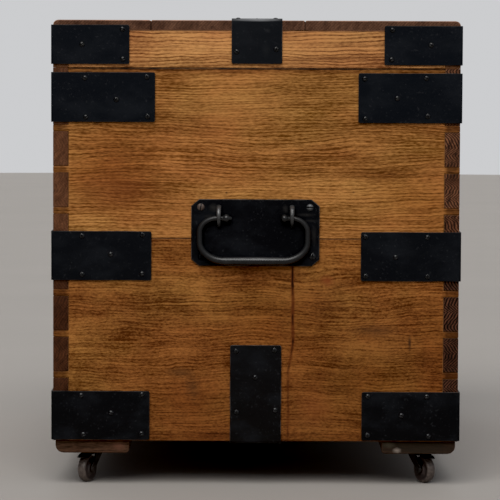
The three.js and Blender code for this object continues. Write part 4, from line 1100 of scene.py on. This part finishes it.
# Hinges: two steel butts screwed to the back, five knuckles on a pin. The case's leaf
# carries the pin and three knuckles, the lid's leaf the other two.
HINGE_PIN = Vector((0.2436, 0.0, 0.49855))
PIN_RADIUS = 0.0022
HINGE_HALF = 0.030
LEAF = 0.038
LEAF_BACK = 0.2394
LEAF_FACE = 0.2414
KNUCKLES = 5
KNUCKLE_RADIUS = 0.0042
KNUCKLE_GAP = 0.0004
HINGE_STEEL = rubbed_iron("hinge_steel", (0.008, 0.0078, 0.008), (0.050, 0.047, 0.045), 0.5, 0.42)
for end, middle_y in (("near", -0.190), ("far", 0.190)):
    for part, up in (("case", -1), ("lid", 1)):
        leaf = bmesh.new()
        leaf_x = (LEAF_FACE + LEAF_BACK) / 2
        low = up * (KNUCKLE_RADIUS + KNUCKLE_GAP)
        high = up * LEAF
        add_block(leaf, (LEAF_FACE - LEAF_BACK, 2 * HINGE_HALF, abs(high - low)),
                  (leaf_x, middle_y, HINGE_PIN.z + (low + high) / 2))
        corners = [edge for edge in leaf.edges if abs(edge.verts[0].co.y - edge.verts[1].co.y) < HAIR
                   and all(abs(point.co.z - HINGE_PIN.z - high) < HAIR for point in edge.verts)]
        round_off(leaf, corners, 0.005, 4, smooth=False)
        pitch = 2 * HINGE_HALF / KNUCKLES
        root = abs(low) + 0.001
        for index in range(0 if up < 0 else 1, KNUCKLES, 2):
            start = -HINGE_HALF + index * pitch + (KNUCKLE_GAP / 2 if index else 0)
            stop = -HINGE_HALF + (index + 1) * pitch - (KNUCKLE_GAP / 2 if index < KNUCKLES - 1 else 0)
            knuckle_y = middle_y + (start + stop) / 2
            add_pin(leaf, KNUCKLE_RADIUS, stop - start, (HINGE_PIN.x, knuckle_y, HINGE_PIN.z), 28,
                    turned(90, "X"))
            add_block(leaf, (LEAF_FACE - LEAF_BACK, stop - start, root),
                      (leaf_x, knuckle_y, HINGE_PIN.z + up * root / 2))
        if up < 0:
            add_pin(leaf, PIN_RADIUS, 2 * HINGE_HALF, (HINGE_PIN.x, middle_y, HINGE_PIN.z), 20,
                    turned(90, "X"))
        soften(leaf, IRON_ARRIS, 60.0)
        for across, along in ((-0.34, 0.42), (0.34, 0.42), (0.0, 0.76)):
            add_screw(leaf, (LEAF_FACE - SEATED, middle_y + across * 2 * HINGE_HALF,
                             HINGE_PIN.z + along * high), X)
        finish_piece(leaf, f"hinge_{part}_plate_{end}", part, f"hinge_{part}_leaf_{end}",
                     (HINGE_STEEL, SCREW_IRON))

# Lock: an iron box screwed inside the front board, and a link on the lid's rim that drops
# into it.
LOCK_FACE = -0.2137
LOCK_STEEL = rubbed_iron("lock_steel", (0.016, 0.015, 0.014), (0.11, 0.10, 0.095), 0.5, 0.42)
box = merged_copy("lock_case")
soften(box, 0.0006, 60.0)
for y, z in ((-0.034, 0.450), (0.034, 0.450), (-0.034, 0.490), (0.034, 0.490)):
    add_screw(box, (LOCK_FACE, y, z), X, SMALL_SCREW)
finish_piece(box, "lock_box", "case", "lock_case", (LOCK_STEEL, SCREW_IRON))
link = merged_copy("lock_link")
soften(link, IRON_ARRIS, 60.0)
finish_piece(link, "lid_lock_link", "lid", "lock_link", (LOCK_STEEL,))

# Keyhole plate: a thin oval of the same black iron with the keyhole cut through it, held to
# the front by two small screws. The hole ends in a near-black sheet, painted shade that
# stands for the dark of the lock behind it.
KEY_LEVEL = 0.468
KEY_PLATE_THICK = 0.0011
KEYHOLE_FLOOR = 0.0003
KEY_SCREW = (0.0016, 0.0008)
# Painted shade: a near-black sheet at the bottom of the keyhole.
KEYHOLE_PAINTED_SHADE = rubbed_iron("keyhole_painted_shade", (0.0008, 0.0008, 0.0008), (0.001, 0.001, 0.001), 0.0, 0.8)
oval = arc(0.0, 0.0, 0.013, 0.020, 0, 360, 40)[:-1]
keyhole = arc(0.0, 0.003, 0.0032, 0.0032, -60, 240, 15) + [(-0.0024, -0.0085), (0.0024, -0.0085)]
wide_keyhole = [(y * 1.1, z * 1.1) for y, z in keyhole]
key_plate = bmesh.new()
for outlines, back, thick, finish in (((oval, keyhole), 0.0001, KEY_PLATE_THICK, 0),
                                      ((wide_keyhole,), 0.0, KEYHOLE_FLOOR, 1)):
    rims = []
    for outline in outlines:
        points = [key_plate.verts.new((CORNER_X["front"] - back, -y, KEY_LEVEL + z)) for y, z in outline]
        rims += [key_plate.edges.new(pair) for pair in zip(points, points[1:] + points[:1])]
    filled = bmesh.ops.triangle_fill(key_plate, use_beauty=True, edges=rims)["geom"]
    flat = [part for part in filled if isinstance(part, bmesh.types.BMFace)]
    for face in flat:
        face.material_index = finish
    bmesh.ops.translate(key_plate, vec=(-thick, 0, 0), verts=draw_out(key_plate, flat)[1])
    close_up(key_plate)
    if finish == 0:
        soften(key_plate, 0.0002, 60.0, 1)
for z in (-0.0155, 0.0155):
    add_screw(key_plate, (CORNER_X["front"] - KEY_PLATE_THICK, 0, KEY_LEVEL + z), -X, KEY_SCREW)
finish_piece(key_plate, "keyhole_plate", "case", None, (STRAP_IRON, KEYHOLE_PAINTED_SHADE, SCREW_IRON))
